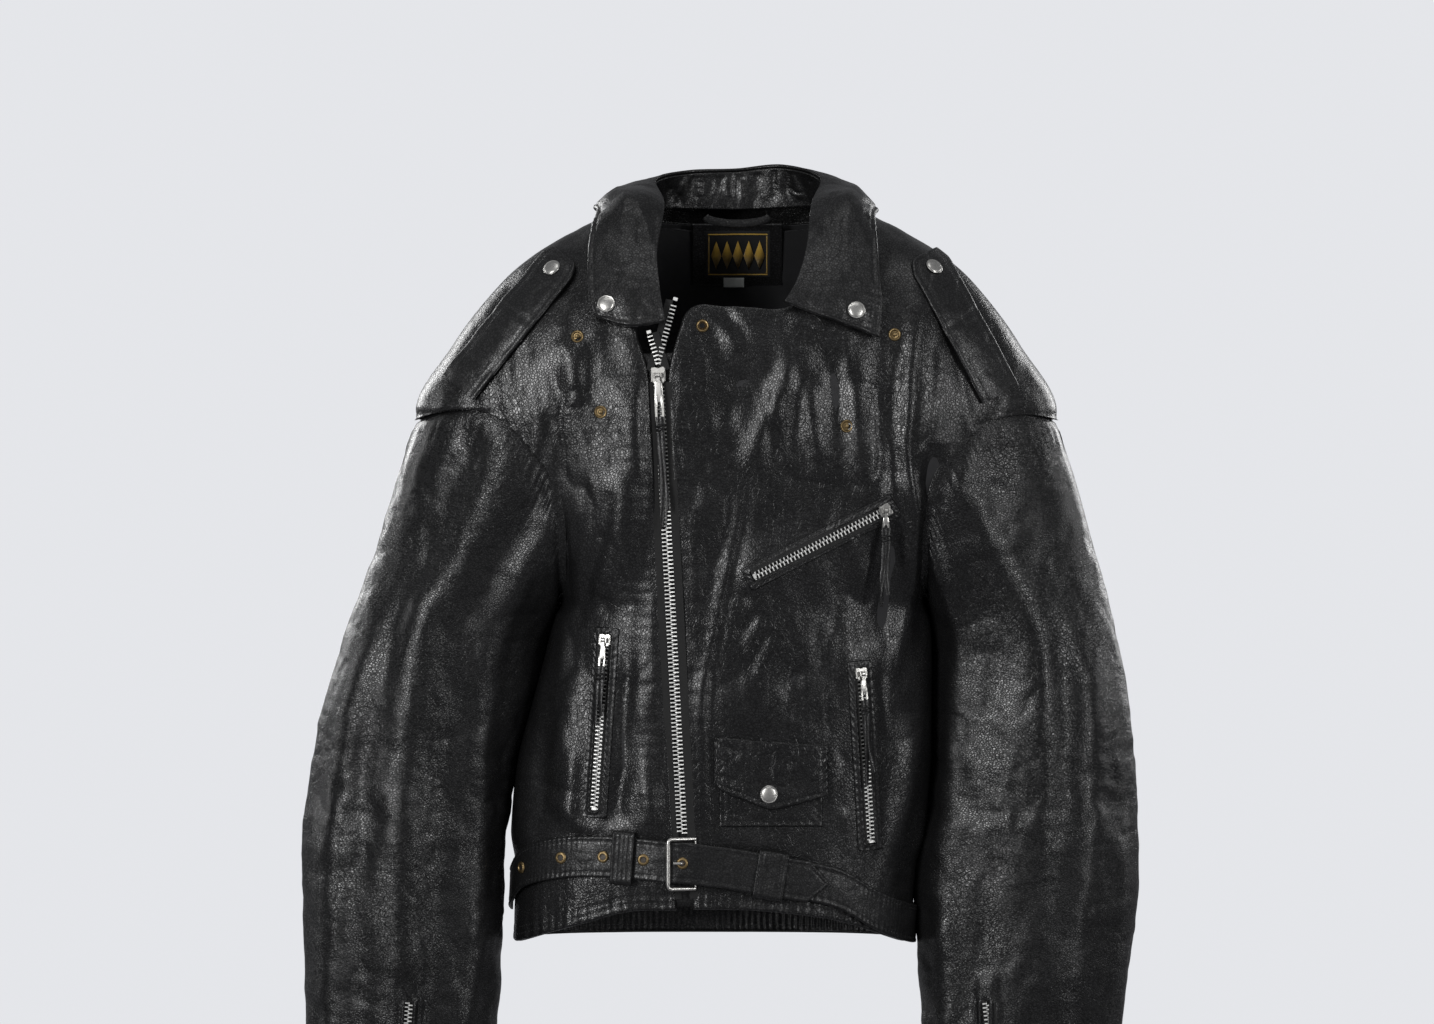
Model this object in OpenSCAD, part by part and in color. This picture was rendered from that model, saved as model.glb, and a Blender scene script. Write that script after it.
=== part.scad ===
/* [Torso] */
// Half width of the body at the hem
hem_half = 171; // [162:1:173]
// Half width of the body just under the arms
chest_half = 158; // [152:1:160]
// Half width across the dropped shoulder tips
shoulder_half = 275; // [268:1:282]
// Half width of the neck hole between the shoulder seams
neck_half = 110; // [104:1:114]
// How far the hem hangs to one side of the neck
hem_lean = -18; // [-22:1:-10]
// Half depth of the body at the hem
hem_depth = 92; // [84:1:100]
// Half depth of the body at the chest
chest_depth = 102; // [94:1:110]
// How square the body is in plan, 2 is an ellipse
body_square = 2.8; // [2.5:0.1:3.2]
// Thickness of the leather with its backing
leather = 1.6; // [1.2:0.1:2.0]
// Rise of the front hem at the middle over its sides
hem_rise = 26; // [18:1:30]

/* [Levels] */
// Height of the armhole's lowest point over the hem
z_underarm = 287; // [280:1:292]
// Height of the shoulder tip over the hem
z_tip = 442; // [436:1:448]
// Height of the neck end of the shoulder seam over the hem
z_neck = 620; // [616:1:624]

/* [Sleeves] */
// Height of the cuff edge, below the hem
z_cuff = -184; // [-200:1:-170]
// Half depth of the sleeve at the upper arm
sleeve_depth = 66; // [60:1:70]
// Half depth of the sleeve at the cuff
cuff_depth = 40; // [34:1:44]
// Clearance between the sleeve and the armhole
arm_gap = 4; // [3.5:0.1:4.5]

/* [Zips] */
// Width of the main chain over both rows
main_chain = 7.8; // [7.4:0.1:8.2]
// Pitch of the main chain's teeth
main_pitch = 3.4; // [3.2:0.1:3.6]
// Width of a pocket chain over both rows
pocket_chain = 5.8; // [5.4:0.1:6.2]
// Pitch of a pocket chain's teeth
pocket_pitch = 2.6; // [2.5:0.1:2.8]
// Length of a hand pocket's opening
hand_length = 148; // [140:1:150]
// Length of the chest pocket's opening
chest_length = 128; // [122:1:130]

/* [Belt] */
// Width of the belt
belt_width = 35; // [32:1:36]
// Thickness of a belt layer
belt_thick = 2; // [1.8:0.1:2.2]
// Radius of an eyelet's hole
eyelet_hole = 2.5; // [2.4:0.1:2.8]
// Radius of the buckle's wire
wire = 1.7; // [1.6:0.1:1.8]

/* [Snaps] */
// Radius of a snap's cap
cap_radius = 7.5; // [7:0.1:7.6]
// Radius of a snap's stud
stud_radius = 1.9; // [1.7:0.1:2]

/* [Hidden] */

RIGHT = -1; // the wearer's right is on -X
LEFT = 1;
FRONT = -1; // the front faces -Y
BACK = 1;
black = [0.09, 0.09, 0.1];
lining_black = [0.05, 0.05, 0.055];
steel = [0.72, 0.72, 0.72];
brass = [0.55, 0.42, 0.24];
tape_black = [0.03, 0.03, 0.03];
seam = 0.6; // clearance between two sheets that meet at a seam

// ---- Curves through keys -------------------------------------------------

function unit(v) = v / norm(v);
function mix(a, b, t) = a + (b - a) * t;
function ease(t) = let (k = max(0, min(1, t))) k * k * (3 - 2 * k);

// A key is [position, value]; the curve is smooth and passes through each
function key_at(keys, x, i = 0) =
    i >= len(keys) - 2 || x < keys[i + 1][0] ? i : key_at(keys, x, i + 1);
function key_slope(keys, i) =
    let (a = max(i - 1, 0), b = min(i + 1, len(keys) - 1))
    (keys[b][1] - keys[a][1]) / (keys[b][0] - keys[a][0]);
function smooth(keys, x) =
    let (
        i = key_at(keys, x),
        span = keys[i + 1][0] - keys[i][0],
        t = max(0, min(1, (x - keys[i][0]) / span))
    )
    keys[i][1] * (2 * t ^ 3 - 3 * t ^ 2 + 1)
    + key_slope(keys, i) * span * (t ^ 3 - 2 * t ^ 2 + t)
    + keys[i + 1][1] * (3 * t ^ 2 - 2 * t ^ 3)
    + key_slope(keys, i + 1) * span * (t ^ 3 - t ^ 2);
function numbered(points) = [for (i = [0 : len(points) - 1]) [i, points[i]]];
function spline(points, t) = smooth(numbered(points), t * (len(points) - 1));

// Point at a share t of a polyline's length
function lengths(pts, i = 0) =
    i >= len(pts) - 1 ? 0 : norm(pts[i + 1] - pts[i]) + lengths(pts, i + 1);
function walk(pts, t, i = 0, left = undef) =
    let (l = left == undef ? t * lengths(pts) : left, step = norm(pts[i + 1] - pts[i]))
    l <= step || i >= len(pts) - 2 ? mix(pts[i], pts[i + 1], min(1, l / step)) : walk(pts, t, i + 1, l - step);

// ---- The body's skin: half width, middle and half depth at each height -----

half_keys = [
    [-20, hem_half], [0, hem_half], [140, hem_half + 2.5], [201, hem_half - 4.5], [z_underarm - 28, chest_half + 1],
    [z_underarm, chest_half], [350, 200], [z_tip, shoulder_half], [508, 243], [560, 203], [585, 174],
    [605, 140], [z_neck, neck_half], [650, 70]
];
mid_keys = [[-20, hem_lean], [0, hem_lean], [140, hem_lean / 2 + 1], [z_underarm, 9], [z_tip, 3], [z_neck, 5]];
depth_keys = [
    [-20, hem_depth - 0.5], [0, hem_depth], [250, (hem_depth + chest_depth) / 2], [500, chest_depth],
    [545, chest_depth - 9], [585, chest_depth - 28], [z_neck, chest_depth - 58], [650, 20]
];

function half_at(z) = smooth(half_keys, z);
function mid_at(z) = smooth(mid_keys, z);
function depth_at(z) = smooth(depth_keys, z);
function skin_y(x, z) =
    let (r = min(1, abs(x - mid_at(z)) / half_at(z)))
    depth_at(z) * pow(1 - pow(r, body_square), 1 / body_square);
function fill(q) =
    pow(abs(q.x - mid_at(q.z)) / half_at(q.z), body_square) + pow(abs(q.y) / depth_at(q.z), body_square);
function skin_normal(q) =
    unit([for (d = [[1, 0, 0], [0, 1, 0], [0, 0, 1]]) fill(q + d / 2) - fill(q - d / 2)]);
// Point at height h over the skin, on the front or the back
function on_skin(face, x, z, h = 0) =
    let (q = [x, face * skin_y(x, z), z])
    q + [0, face * seam, 0] + h * skin_normal(q);
function front(x, z, h = 0) = on_skin(FRONT, x, z, h);
// Point at height h over the skin at an angle around the body, 0 at +X and 90 at the front
function around(a, z, h) =
    let (
        c = cos(a),
        s = sin(a),
        e = 2 / body_square,
        out = sign(s) * pow(abs(s), e),
        q = [mid_at(z) + half_at(z) * sign(c) * pow(abs(c), e), -depth_at(z) * out, z]
    )
    q - [0, seam * out, 0] + h * skin_normal(q);

function side_point(side, z) = [mid_at(z) + side * half_at(z), z];
// Armhole seam in the front view, c from -1 under the arm to 1 at the shoulder tip
function armhole(side, c, push = 0) =
    let (
        low = side_point(side, z_underarm),
        tip = side_point(side, z_tip),
        d = unit(tip - low),
        inward = -side * [d.y, -d.x],
        belly = side == RIGHT ? 62 : 54
    )
    mix(low, tip, (c + 1) / 2) + inward * ((c > 0 ? 1 - c ^ 4 : 1 - pow(-c, 1.6)) * belly - push);

// ---- Sheets: a grid of points over a second grid, closed along the edges ----

module sheet(over, under, flip = false, tube = false) {
    rows = len(over);
    cols = len(over[0]);
    last = tube ? cols - 1 : cols - 2;
    function t(i, j) = i * cols + j % cols;
    function u(i, j) = rows * cols + t(i, j);
    quads = [
        for (i = [0 : rows - 2], j = [0 : last]) [t(i, j), t(i, j + 1), t(i + 1, j + 1), t(i + 1, j)],
        for (i = [0 : rows - 2], j = [0 : last]) [u(i, j), u(i + 1, j), u(i + 1, j + 1), u(i, j + 1)],
        for (j = [0 : last]) [t(0, j + 1), t(0, j), u(0, j), u(0, j + 1)],
        for (j = [0 : last]) [t(rows - 1, j), t(rows - 1, j + 1), u(rows - 1, j + 1), u(rows - 1, j)],
        if (!tube) for (i = [0 : rows - 2]) [t(i, 0), t(i + 1, 0), u(i + 1, 0), u(i, 0)],
        if (!tube) for (i = [0 : rows - 2])
            [t(i + 1, cols - 1), t(i, cols - 1), u(i, cols - 1), u(i + 1, cols - 1)]
    ];
    triangles = [for (q = quads) each [[q[0], q[1], q[2]], [q[0], q[2], q[3]]]];
    polyhedron(
        points = [for (r = over) each r, for (r = under) each r],
        faces = flip ? [for (f = triangles) [f[2], f[1], f[0]]] : triangles
    );
}

// A sheet laid on the front: its grid of [x, z] points, between two heights over the skin
module skin_sheet(grid, low, high, face = FRONT, flip = false) {
    sheet(
        [for (row = grid) [for (p = row) on_skin(face, p.x, p.y, high)]],
        [for (row = grid) [for (p = row) on_skin(face, p.x, p.y, low)]],
        flip
    );
}

// Four-sided patch filled between its edges
function patch(bottom, top, near, far, u, v) =
    (1 - v) * bottom(u) + v * top(u) + (1 - u) * near(v) + u * far(v)
    - (1 - u) * (1 - v) * near(0) - (1 - u) * v * near(1) - u * (1 - v) * far(0) - u * v * far(1);

// ---- Fronts and back -----------------------------------------------------

// Main zip line, from its foot over the belt to the slider
zip_foot = [-43, 90];
zip_top = [-63, 477];
zip_edge = main_chain / 2 + 4;
function zip_x(z) = zip_foot.x + (zip_top.x - zip_foot.x) * (z - zip_foot.y) / (zip_top.y - zip_foot.y);
right_top = [-74, 512]; // upper end of the open row on the right front
left_top = [-46, 540]; // upper end of the open row on the lapel

function hem_front(x) =
    let (r = (x - mid_at(0)) / half_at(0))
    hem_rise * (1 - r * r);
right_edge = [
    [zip_x(hem_rise) - zip_edge, hem_rise], [zip_top.x - zip_edge, zip_top.y + 6],
    right_top - [zip_edge, 0], [-86, 560], [-101, 604], side_point(RIGHT, z_neck)
];
left_edge = [
    [zip_x(hem_rise) + zip_edge, hem_rise], [zip_top.x + zip_edge + 1, zip_top.y + 6],
    left_top + [zip_edge, 0], [43, 533], [84, 560], [106, 596], side_point(LEFT, z_neck)
];
seam_share = 0.5; // share of a panel's side edge that is side seam, the rest is armhole

// Side edge of a panel, whose hem end lies a little under the hem line
function side_edge(side, v, drop = 0) =
    v < seam_share
        ? side_point(side, z_underarm * v / seam_share - drop * (1 - v / seam_share))
        : armhole(side, 2 * (v - seam_share) / (1 - seam_share) - 1);
function front_point(side, u, v) =
    let (
        edge = side == RIGHT ? right_edge : left_edge,
        near = function (t) walk(edge, t),
        far = function (t) side_edge(side, t),
        bottom = function (t) let (x = mix(near(0).x, far(0).x, t)) [x, hem_front(x)],
        top = function (t) side_point(side, mix(z_neck, z_tip, t))
    )
    patch(bottom, top, near, far, sin(90 * u), v < 0.8 ? v : 0.8 + 0.2 * sin(90 * (v - 0.8) / 0.2));
function back_point(u, v) =
    let (
        neck_dip = 8,
        hem_drop = 6,
        near = function (t) side_edge(RIGHT, t, hem_drop),
        far = function (t) side_edge(LEFT, t, hem_drop),
        bottom = function (t) mix(near(0), far(0), t),
        neck_share = 0.22,
        top = function (t)
            t < 0.5 - neck_share ? side_point(RIGHT, mix(z_tip, z_neck, t / (0.5 - neck_share)))
            : t > 0.5 + neck_share ? side_point(LEFT, mix(z_tip, z_neck, (1 - t) / (0.5 - neck_share)))
            : let (k = (t - 0.5) / neck_share) [mid_at(z_neck) + k * half_at(z_neck), z_neck - neck_dip * (1 - k * k)],
        w = (1 - cos(180 * u)) / 2
    )
    patch(bottom, top, near, far, w, v);

front_cols = 10;
front_rows = 16;
function front_grid(side, cols = front_cols, rows = front_rows) =
    [for (i = [0 : rows]) [for (j = [0 : cols]) front_point(side, j / cols, i / rows)]];
function back_grid(v0, v1, cols, rows) =
    [for (i = [0 : rows]) [for (j = [0 : cols]) back_point(j / cols, mix(v0, v1, i / rows))]];

module front_right_panel() {
    color(black) skin_sheet(front_grid(RIGHT), -leather, 0);
}

module front_left_panel() {
    color(black) skin_sheet(front_grid(LEFT), -leather, 0, flip = true);
}

yoke_share = 0.8; // share of the back's height under the yoke seam
module back_panel() {
    color(black) skin_sheet(back_grid(0, yoke_share, 18, 10), -leather, 0, BACK, flip = false);
}

module back_yoke() {
    color(black) skin_sheet(back_grid(yoke_share + 0.003, 1, 18, 5), -leather, 0, BACK, flip = false);
}

lining_drop = 7.5; // depth of the lining's outer face under the skin
module body_lining() {
    top = -lining_drop;
    color(lining_black) {
        skin_sheet(front_grid(RIGHT), top - 1, top);
        skin_sheet(front_grid(LEFT), top - 1, top, flip = true);
        skin_sheet(back_grid(0, yoke_share, 18, 10), top - 1, top, BACK);
        skin_sheet(back_grid(yoke_share + 0.003, 1, 18, 5), top - 1, top, BACK);
    }
}

// Band sewn inside the back hem, gathered where it shows under the raised front hem
module hem_facing() {
    color(black)
        skin_sheet(
            [for (z = [-5, 22]) [for (j = [0 : 16]) [mid_at(0) - 0.985 * hem_half * cos(180 * j / 16), z]]],
            -leather - 2.6, -leather - 1.2, BACK
        );
}

// ---- Collar --------------------------------------------------------------

// Each station is [fold line, middle of the fall, free edge], from the right tip round the neck to the left
collar_stations = [
    [front(-57, 521, 9), front(-88, 517, 9), front(-117, 527, 6)],
    [front(-62, 550, 7), front(-92, 551, 9), front(-122, 545, 6)],
    [[-65, -74, 585], front(-94, 589, 8), front(-121, 588, 6)],
    [[-60, -38, 624], [-92, -48, 632], front(-113, 614, 5)],
    [[-66, 8, 648], [-98, 12, 642], [-116, 14, 621.5]],
    [[-39, 36, 657], [-60, 62, 644], [-74, 72, 606]],
    [[3, 44, 659], [3, 72, 648], [3, 84, 602]],
    [[43, 36, 662], [64, 62, 646], [82, 72, 606]],
    [[75, 8, 650], [104, 12, 644], [121, 14, 620]],
    [[68, -38, 624], [98, -48, 630], front(119, 608, 5)],
    [[63, -74, 588], front(94, 585, 8), front(122, 576, 6)],
    [front(54, 556, 7), front(88, 548, 9), front(125, 540, 6)],
    [front(43, 537, 9), front(78, 524, 9), front(123, 509, 6)]
];
function collar_point(s, w) =
    let (
        fold = spline([for (k = collar_stations) k[0]], s),
        fall = spline([for (k = collar_stations) k[1]], s),
        rim = spline([for (k = collar_stations) k[2]], s)
    )
    w < 0.5 ? mix(fold, fall, w * 2) : mix(fall, rim, w * 2 - 1);
function grid_normal(g, i, j, tube = false) =
    let (
        rows = len(g),
        cols = len(g[0]),
        a = g[min(rows - 1, i + 1)][j] - g[max(0, i - 1)][j],
        b = tube
            ? g[i][(j + 1) % cols] - g[i][(j + cols - 1) % cols]
            : g[i][min(cols - 1, j + 1)] - g[i][max(0, j - 1)]
    )
    unit(cross(a, b));
function lifted(g, h, tube = false) =
    [for (i = [0 : len(g) - 1]) [for (j = [0 : len(g[0]) - 1]) g[i][j] + h * grid_normal(g, i, j, tube)]];

module collar() {
    grid = [for (i = [0 : 40]) [for (j = [0 : 4]) collar_point(i / 40, j / 4)]];
    color(black) sheet(grid, lifted(grid, 2.2), flip = true);
}

// Inner band from the fold line down to the neck seam
module collar_stand() {
    neck = [
        front(-84, 560, -9), [-96, -40, 606], [-100, 8, 618], [-66, 38, 616], [3, 46, 614], [74, 38, 616],
        [108, 8, 614], [104, -40, 604], front(86, 566, -9)
    ];
    crest = [for (k = [2 : 10]) collar_stations[k][0]];
    grid = [
        for (i = [0 : 24]) [
            for (j = [0 : 2])
                mix(spline(crest, i / 24), spline(neck, i / 24), 0.08 + 0.62 * j / 2)
        ]
    ];
    color(black) sheet(lifted(grid, -1.2), lifted(grid, -2.6));
}

// ---- Placing flat hardware on the curved leather ---------------------------

// Moves the children's X across, Y along from p to q, Z out of the leather
module between(p, q, out = undef) {
    y = unit(q - p);
    n = out == undef ? skin_normal((p + q) / 2) : out;
    z = unit(n - (n * y) * y);
    x = cross(y, z);
    multmatrix([[x.x, y.x, z.x, p.x], [x.y, y.y, z.y, p.y], [x.z, y.z, z.z, p.z]]) children();
}

// Children stand at point q of the skin, at height h, with Y as upright as the skin lets it be
module standing_at(q, h = 0) {
    n = skin_normal(q);
    between(q + h * n, q + h * n + unit([0, 0, 1] - n.z * n), n) children();
}
module standing(x, z, h = 0) { standing_at(front(x, z), h) children(); }

// ---- Snaps and studs -------------------------------------------------------

// Domed cap over a barrel that goes through a strap and takes the stud; 0 is the strap's underside
barrel_radius = 5;
module snap_cap() {
    color(steel)
        rotate_extrude($fn = 40)
            polygon([
                [3, -0.4], [barrel_radius, -0.4], [barrel_radius, 1.9], [cap_radius, 1.9], [cap_radius, 2.4],
                [cap_radius - 1.4, 3.2], [3.5, 3.8], [0, 4], [0, 2.9], [3, 2.9]
            ]);
}
// The hole a cap's barrel goes through
module cap_hole() { translate([0, 0, -3]) cylinder(h = 8, r = barrel_radius + 0.2, $fn = 32); }

// Stud that stands on the leather: a flange, a neck and a rounded head
module snap_stud(metal = brass) {
    color(metal)
        rotate_extrude($fn = 32)
            polygon([
                [0, 0.2], [5.4, 0.2], [5.4, 0.6], [2.6, 0.9], [stud_radius - 0.3, 1.2], [stud_radius - 0.3, 2.4],
                [stud_radius, 2.9], [stud_radius - 0.5, 3.7], [0, 3.9]
            ]);
}

// Open socket: a ring whose hole takes a stud
module snap_socket() {
    color(brass)
        rotate_extrude($fn = 32)
            polygon([[2.3, 0.2], [5.4, 0.2], [5.4, 1.0], [4.4, 2.4], [2.9, 2.4], [2.3, 1.4]]);
}

module collar_snaps() {
    standing(-106, 535, 8.4) snap_cap();
    standing(103, 530, 8.6) snap_cap();
}

module lapel_studs() {
    for (p = [[-132, 511], [137, 513], [-112, 447], [96, 435]])
        standing(p.x, p.y) snap_stud();
    standing(-26, 520) snap_socket();
}

// ---- Label, tag and hang loop inside the back neck -------------------------

module inside_back(z0, z1, x0, x1, low, high) {
    skin_sheet(
        [for (i = [0 : 4]) [for (j = [0 : 4]) [mix(x0, x1, j / 4), mix(z0, z1, i / 4)]]],
        -lining_drop - 1 - high, -lining_drop - 1 - low, BACK
    );
}

module label_patch() {
    color(brass) inside_back(566, 620, -36, 44, 2.6, 4);
}

module size_tag() {
    color("whitesmoke") inside_back(568, 576, -8, 10, 4.3, 4.9);
}

// Strap bent into a loop, sewn at both ends under the collar stand
loop_at = [4, 35, 619];
module hang_loop() {
    color(black)
        translate(loop_at)
            rotate([90, 0, 0])
                difference() {
                    union() {
                        translate([-28, 0, -3]) cube([56, 6, 6]);
                        translate([-28, -4, -3]) cube([6, 10, 6]);
                        translate([22, -4, -3]) cube([6, 10, 6]);
                    }
                    translate([-24, -1.5, -4]) cube([48, 6, 8]);
                }
}

// ---- Zips ------------------------------------------------------------------

// One row of teeth on its cord, along +Y, teeth pointing to +X or -X
module tooth_row(length, chain, pitch, hand, start = 0) {
    thick = chain * 0.34;
    reach = chain * 0.1;
    tooth = pitch * 0.44;
    count = floor(length / pitch);
    outline = [
        [-chain / 2 - 0.6, 0], [-chain / 2 - 0.6, length],
        [-chain / 2 + 0.5, length],
        for (i = [count - 1 : -1 : 0])
            let (y = start + i * pitch)
            each [[-chain / 2 + 0.5, y + tooth], [reach, y + tooth], [reach, y], [-chain / 2 + 0.5, y]],
        [-chain / 2 + 0.5, 0]
    ];
    mirror([hand < 0 ? 0 : 1, 0, 0])
        translate([0, 0, -thick / 2])
            linear_extrude(thick)
                polygon(outline);
}

// Slider: a front plate with a flange each side and two ears that hold the pull's pin
module slider(chain, tilt = 0) {
    w = chain + 3.4;
    len = chain * 1.9;
    plate_z = chain * 0.17 + 0.5;
    ear = chain * 0.28;
    difference() {
        linear_extrude(plate_z + 1.2)
            polygon([
                [-w / 2, -len / 2 + 2], [-w / 2 + 2, -len / 2], [w / 2 - 2, -len / 2], [w / 2, -len / 2 + 2],
                [w / 2 + 0.8, len / 2 - 3], [w / 4, len / 2], [-w / 4, len / 2], [-w / 2 - 0.8, len / 2 - 3]
            ]);
        translate([-chain / 2 - 0.9, -len, -1]) cube([chain + 1.8, 2 * len, plate_z + 1]);
    }
    rotate([0, 0, tilt])
        translate([0, 0, plate_z + 1.2]) {
            for (side = [-1, 1])
                translate([side * (ear + 0.75) - 0.75, -1.8, -0.4]) cube([1.5, 3.6, 4.6]);
            translate([-ear - 1, 0, pin_rise(chain) - plate_z - 1.2])
                rotate([0, 90, 0]) cylinder(h = 2 * ear + 2, r = pin_r, $fn = 24);
        }
}
pin_r = 0.9;
// Height of the pull's pin over the chain's middle plane
function pin_rise(chain) = chain * 0.17 + 0.5 + 1.2 + 2.6;

// Pull tab: a barrel on the slider's pin and a long tab with a slot, hanging to -Y
module pull(chain, length) {
    ear = chain * 0.28;
    half = chain * 0.52;
    difference() {
        union() {
            translate([-ear + 0.3, 0, 0]) rotate([0, 90, 0]) cylinder(h = 2 * ear - 0.6, r = 2.1, $fn = 32);
            translate([-ear + 0.3, -6, -0.7]) cube([2 * ear - 0.6, 5, 1.4]);
            translate([-half, -length + half, -0.7]) cube([2 * half, length - half - 4, 1.4]);
            translate([0, -length + half, -0.7]) cylinder(h = 1.4, r = half, $fn = 32);
        }
        translate([-ear - 1, 0, 0]) rotate([0, 90, 0]) cylinder(h = 2 * ear + 2, r = pin_r + 0.25, $fn = 32);
        translate([-half * 0.45, -length + half - 1, -2]) cube([half * 0.9, length * 0.3, 4]);
    }
}

// Leather lace knotted through the pull's slot
module thong(from, length, width) {
    color(black) {
        translate([-width / 2, -from - length, -0.5]) cube([width, length - 0.4, 1.2]);
        translate([width / 2 + 0.4, -from - length * 0.86, -0.5]) cube([width * 0.6, length * 0.86 - 0.4, 1.2]);
    }
}

// Main zip
zip_lift = 0.6; // height of the main chain's middle plane over the skin
main_p = front(zip_foot.x, zip_foot.y, zip_lift);
main_q = front(zip_top.x, zip_top.y, zip_lift);
main_length = norm(main_q - main_p);
main_pull_length = 41;
main_thong_length = 88;

module main_zip_tape() {
    strip = 9;
    color(tape_black)
        for (hand = [-1, 1])
            skin_sheet(
                [
                    for (i = [0 : 8])
                        let (z = mix(hem_rise + 4, zip_top.y, i / 8), x = zip_x(z) + hand * (main_chain / 2 + 1 + strip / 2))
                        [[x + strip / 2, z], [x - strip / 2, z]]
                ],
                -leather - 2.2, -leather - 1.4
            );
}

module main_row(hand, top) {
    color(steel) {
        between(main_p, main_q)
            tooth_row(main_length - 9, main_chain, main_pitch, hand, hand < 0 ? 0.2 : 0.2 + main_pitch / 2);
        start = main_q + unit(main_q - main_p) * 11 + [hand * 2.6, 0, 0];
        between(start, front(top.x, top.y, zip_lift))
            translate([-hand * 1.4, 0, 0])
                tooth_row(norm(front(top.x, top.y, zip_lift) - start), main_chain, main_pitch, hand, 0.3);
    }
}

module main_teeth_right() {
    main_row(RIGHT, right_top);
}

module main_teeth_left() {
    main_row(LEFT, left_top);
}

// Flap of leather behind the chain
module zip_underlay() {
    color(black)
        skin_sheet(
            [
                for (i = [0 : 8])
                    let (z = mix(hem_rise + 4, zip_top.y - 4, i / 8))
                    [[zip_x(z) + 15, z], [zip_x(z), z], [zip_x(z) - 22, z]]
            ],
            -leather - 4.2, -leather - 3.2
        );
}

module main_slider() {
    color(steel) between(main_p, main_q) translate([0, main_length + 1, 0]) slider(main_chain);
}

module main_pull() {
    color(steel)
        between(main_p, main_q)
            translate([0, main_length + 1, pin_rise(main_chain)]) pull(main_chain, main_pull_length);
}

module main_thong() {
    between(main_p, main_q)
        translate([0, main_length + 1, pin_rise(main_chain)]) thong(main_pull_length, main_thong_length, 4);
}

// Pocket zips: the lower and the upper end of each opening, in the front view
chest_low = [17, 308];
chest_high = chest_low + chest_length * [cos(27), sin(27)];
hand_right_low = [-117, 110];
hand_right_high = hand_right_low + hand_length * [0.067, 0.998];
hand_left_low = [116, 82];
hand_left_high = hand_left_low + hand_length * [-0.06, 0.998];
pocket_lift = 2.4; // height of a pocket chain's middle plane over the skin, at its ends
frame_lift = 0.7; // height of a welt's underside over the skin

module pocket_line(low, high, lift) {
    between(front(low.x, low.y, lift), front(high.x, high.y, lift)) children();
}
function line_length(low, high, lift) = norm(front(high.x, high.y, lift) - front(low.x, low.y, lift));

module pocket_teeth(low, high, lift) {
    color(steel)
        pocket_line(low, high, lift)
            for (hand = [-1, 1])
                tooth_row(
                    line_length(low, high, lift) - 6, pocket_chain, pocket_pitch, hand,
                    hand < 0 ? 0.2 : 0.2 + pocket_pitch / 2
                );
}

module pocket_slider(low, high, lift, tilt = 0) {
    color(steel)
        pocket_line(low, high, lift)
            translate([0, line_length(low, high, lift) - 4, 0]) slider(pocket_chain, tilt);
}

// Moves the children to the slider's pin, turned so that they hang down
module at_pull(low, high, lift, tilt) {
    pocket_line(low, high, lift)
        translate([0, line_length(low, high, lift) - 4, pin_rise(pocket_chain)])
            rotate([0, 0, tilt]) children();
}

// Four strips that frame a pocket's opening
module welt(low, high) {
    d = unit(high - low);
    across = [d.y, -d.x];
    in = pocket_chain / 2 + 2.8;
    out = in + 5;
    steps = 6;
    module strip(a, b, c, e)
        skin_sheet(
            [for (i = [0 : steps]) let (m = mix(a, b, i / steps)) [m + across * c, m + across * e]],
            frame_lift, frame_lift + 1.4
        );
    color(black) {
        strip(low - d * 1, high + d * 1, out, in);
        strip(low - d * 1, high + d * 1, -in, -out);
        strip(low - d * 6.5, low - d * 1.5, out, -out);
        strip(high + d * 1.5, high + d * 6.5, out, -out);
    }
}

module pocket_welts() {
    welt(chest_low, chest_high);
    welt(hand_right_low, hand_right_high);
    welt(hand_left_low, hand_left_high);
}

// Flat bags between the leather and the lining
module pocket_bags() {
    module bag(x0, x1, z0, z1)
        skin_sheet(
            [for (i = [0 : 3]) [for (j = [0 : 4]) [mix(x1, x0, j / 4), mix(z0, z1, i / 3)]]],
            -leather - 3, -leather - 1
        );
    color(lining_black) {
        bag(0, 130, 205, 320);
        bag(-140, -80, 96, 240);
        bag(28, 138, 68, 200);
    }
}

chest_lift = 6;
chest_tilt = 63;
module chest_teeth() { pocket_teeth(chest_low, chest_high, chest_lift); }
module chest_slider() { pocket_slider(chest_low, chest_high, chest_lift, chest_tilt); }
module chest_pull() { color(steel) at_pull(chest_low, chest_high, chest_lift, chest_tilt) pull(pocket_chain, 20); }
module chest_thong() { at_pull(chest_low, chest_high, chest_lift, chest_tilt) thong(20, 62, 4); }

module hand_right_teeth() { pocket_teeth(hand_right_low, hand_right_high, pocket_lift); }
module hand_right_slider() { pocket_slider(hand_right_low, hand_right_high, pocket_lift); }
module hand_right_pull() {
    color(steel) at_pull(hand_right_low, hand_right_high, pocket_lift, 0) pull(pocket_chain, 28);
}
module hand_right_thong() { at_pull(hand_right_low, hand_right_high, pocket_lift, 0) thong(28, 45, 4); }

module hand_left_teeth() { pocket_teeth(hand_left_low, hand_left_high, pocket_lift); }
module hand_left_slider() { pocket_slider(hand_left_low, hand_left_high, pocket_lift); }
module hand_left_pull() {
    color(steel) at_pull(hand_left_low, hand_left_high, pocket_lift, 0) pull(pocket_chain, 28);
}
module hand_left_thong() { at_pull(hand_left_low, hand_left_high, pocket_lift, 0) thong(28, 68, 4); }

// ---- Coin pocket -----------------------------------------------------------

flap_left = [-16, 172];
flap_right = [80, 165];
flap_drop = 43;
flap_point = 16; // how far the flap's tip hangs below its sides
module coin_pocket() {
    color(black)
        skin_sheet(
            [for (i = [0 : 3]) [for (j = [0 : 4]) [mix(76, -12, j / 4), mix(96, 164, i / 3)]]],
            0.6, 2.0
        );
}

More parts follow.
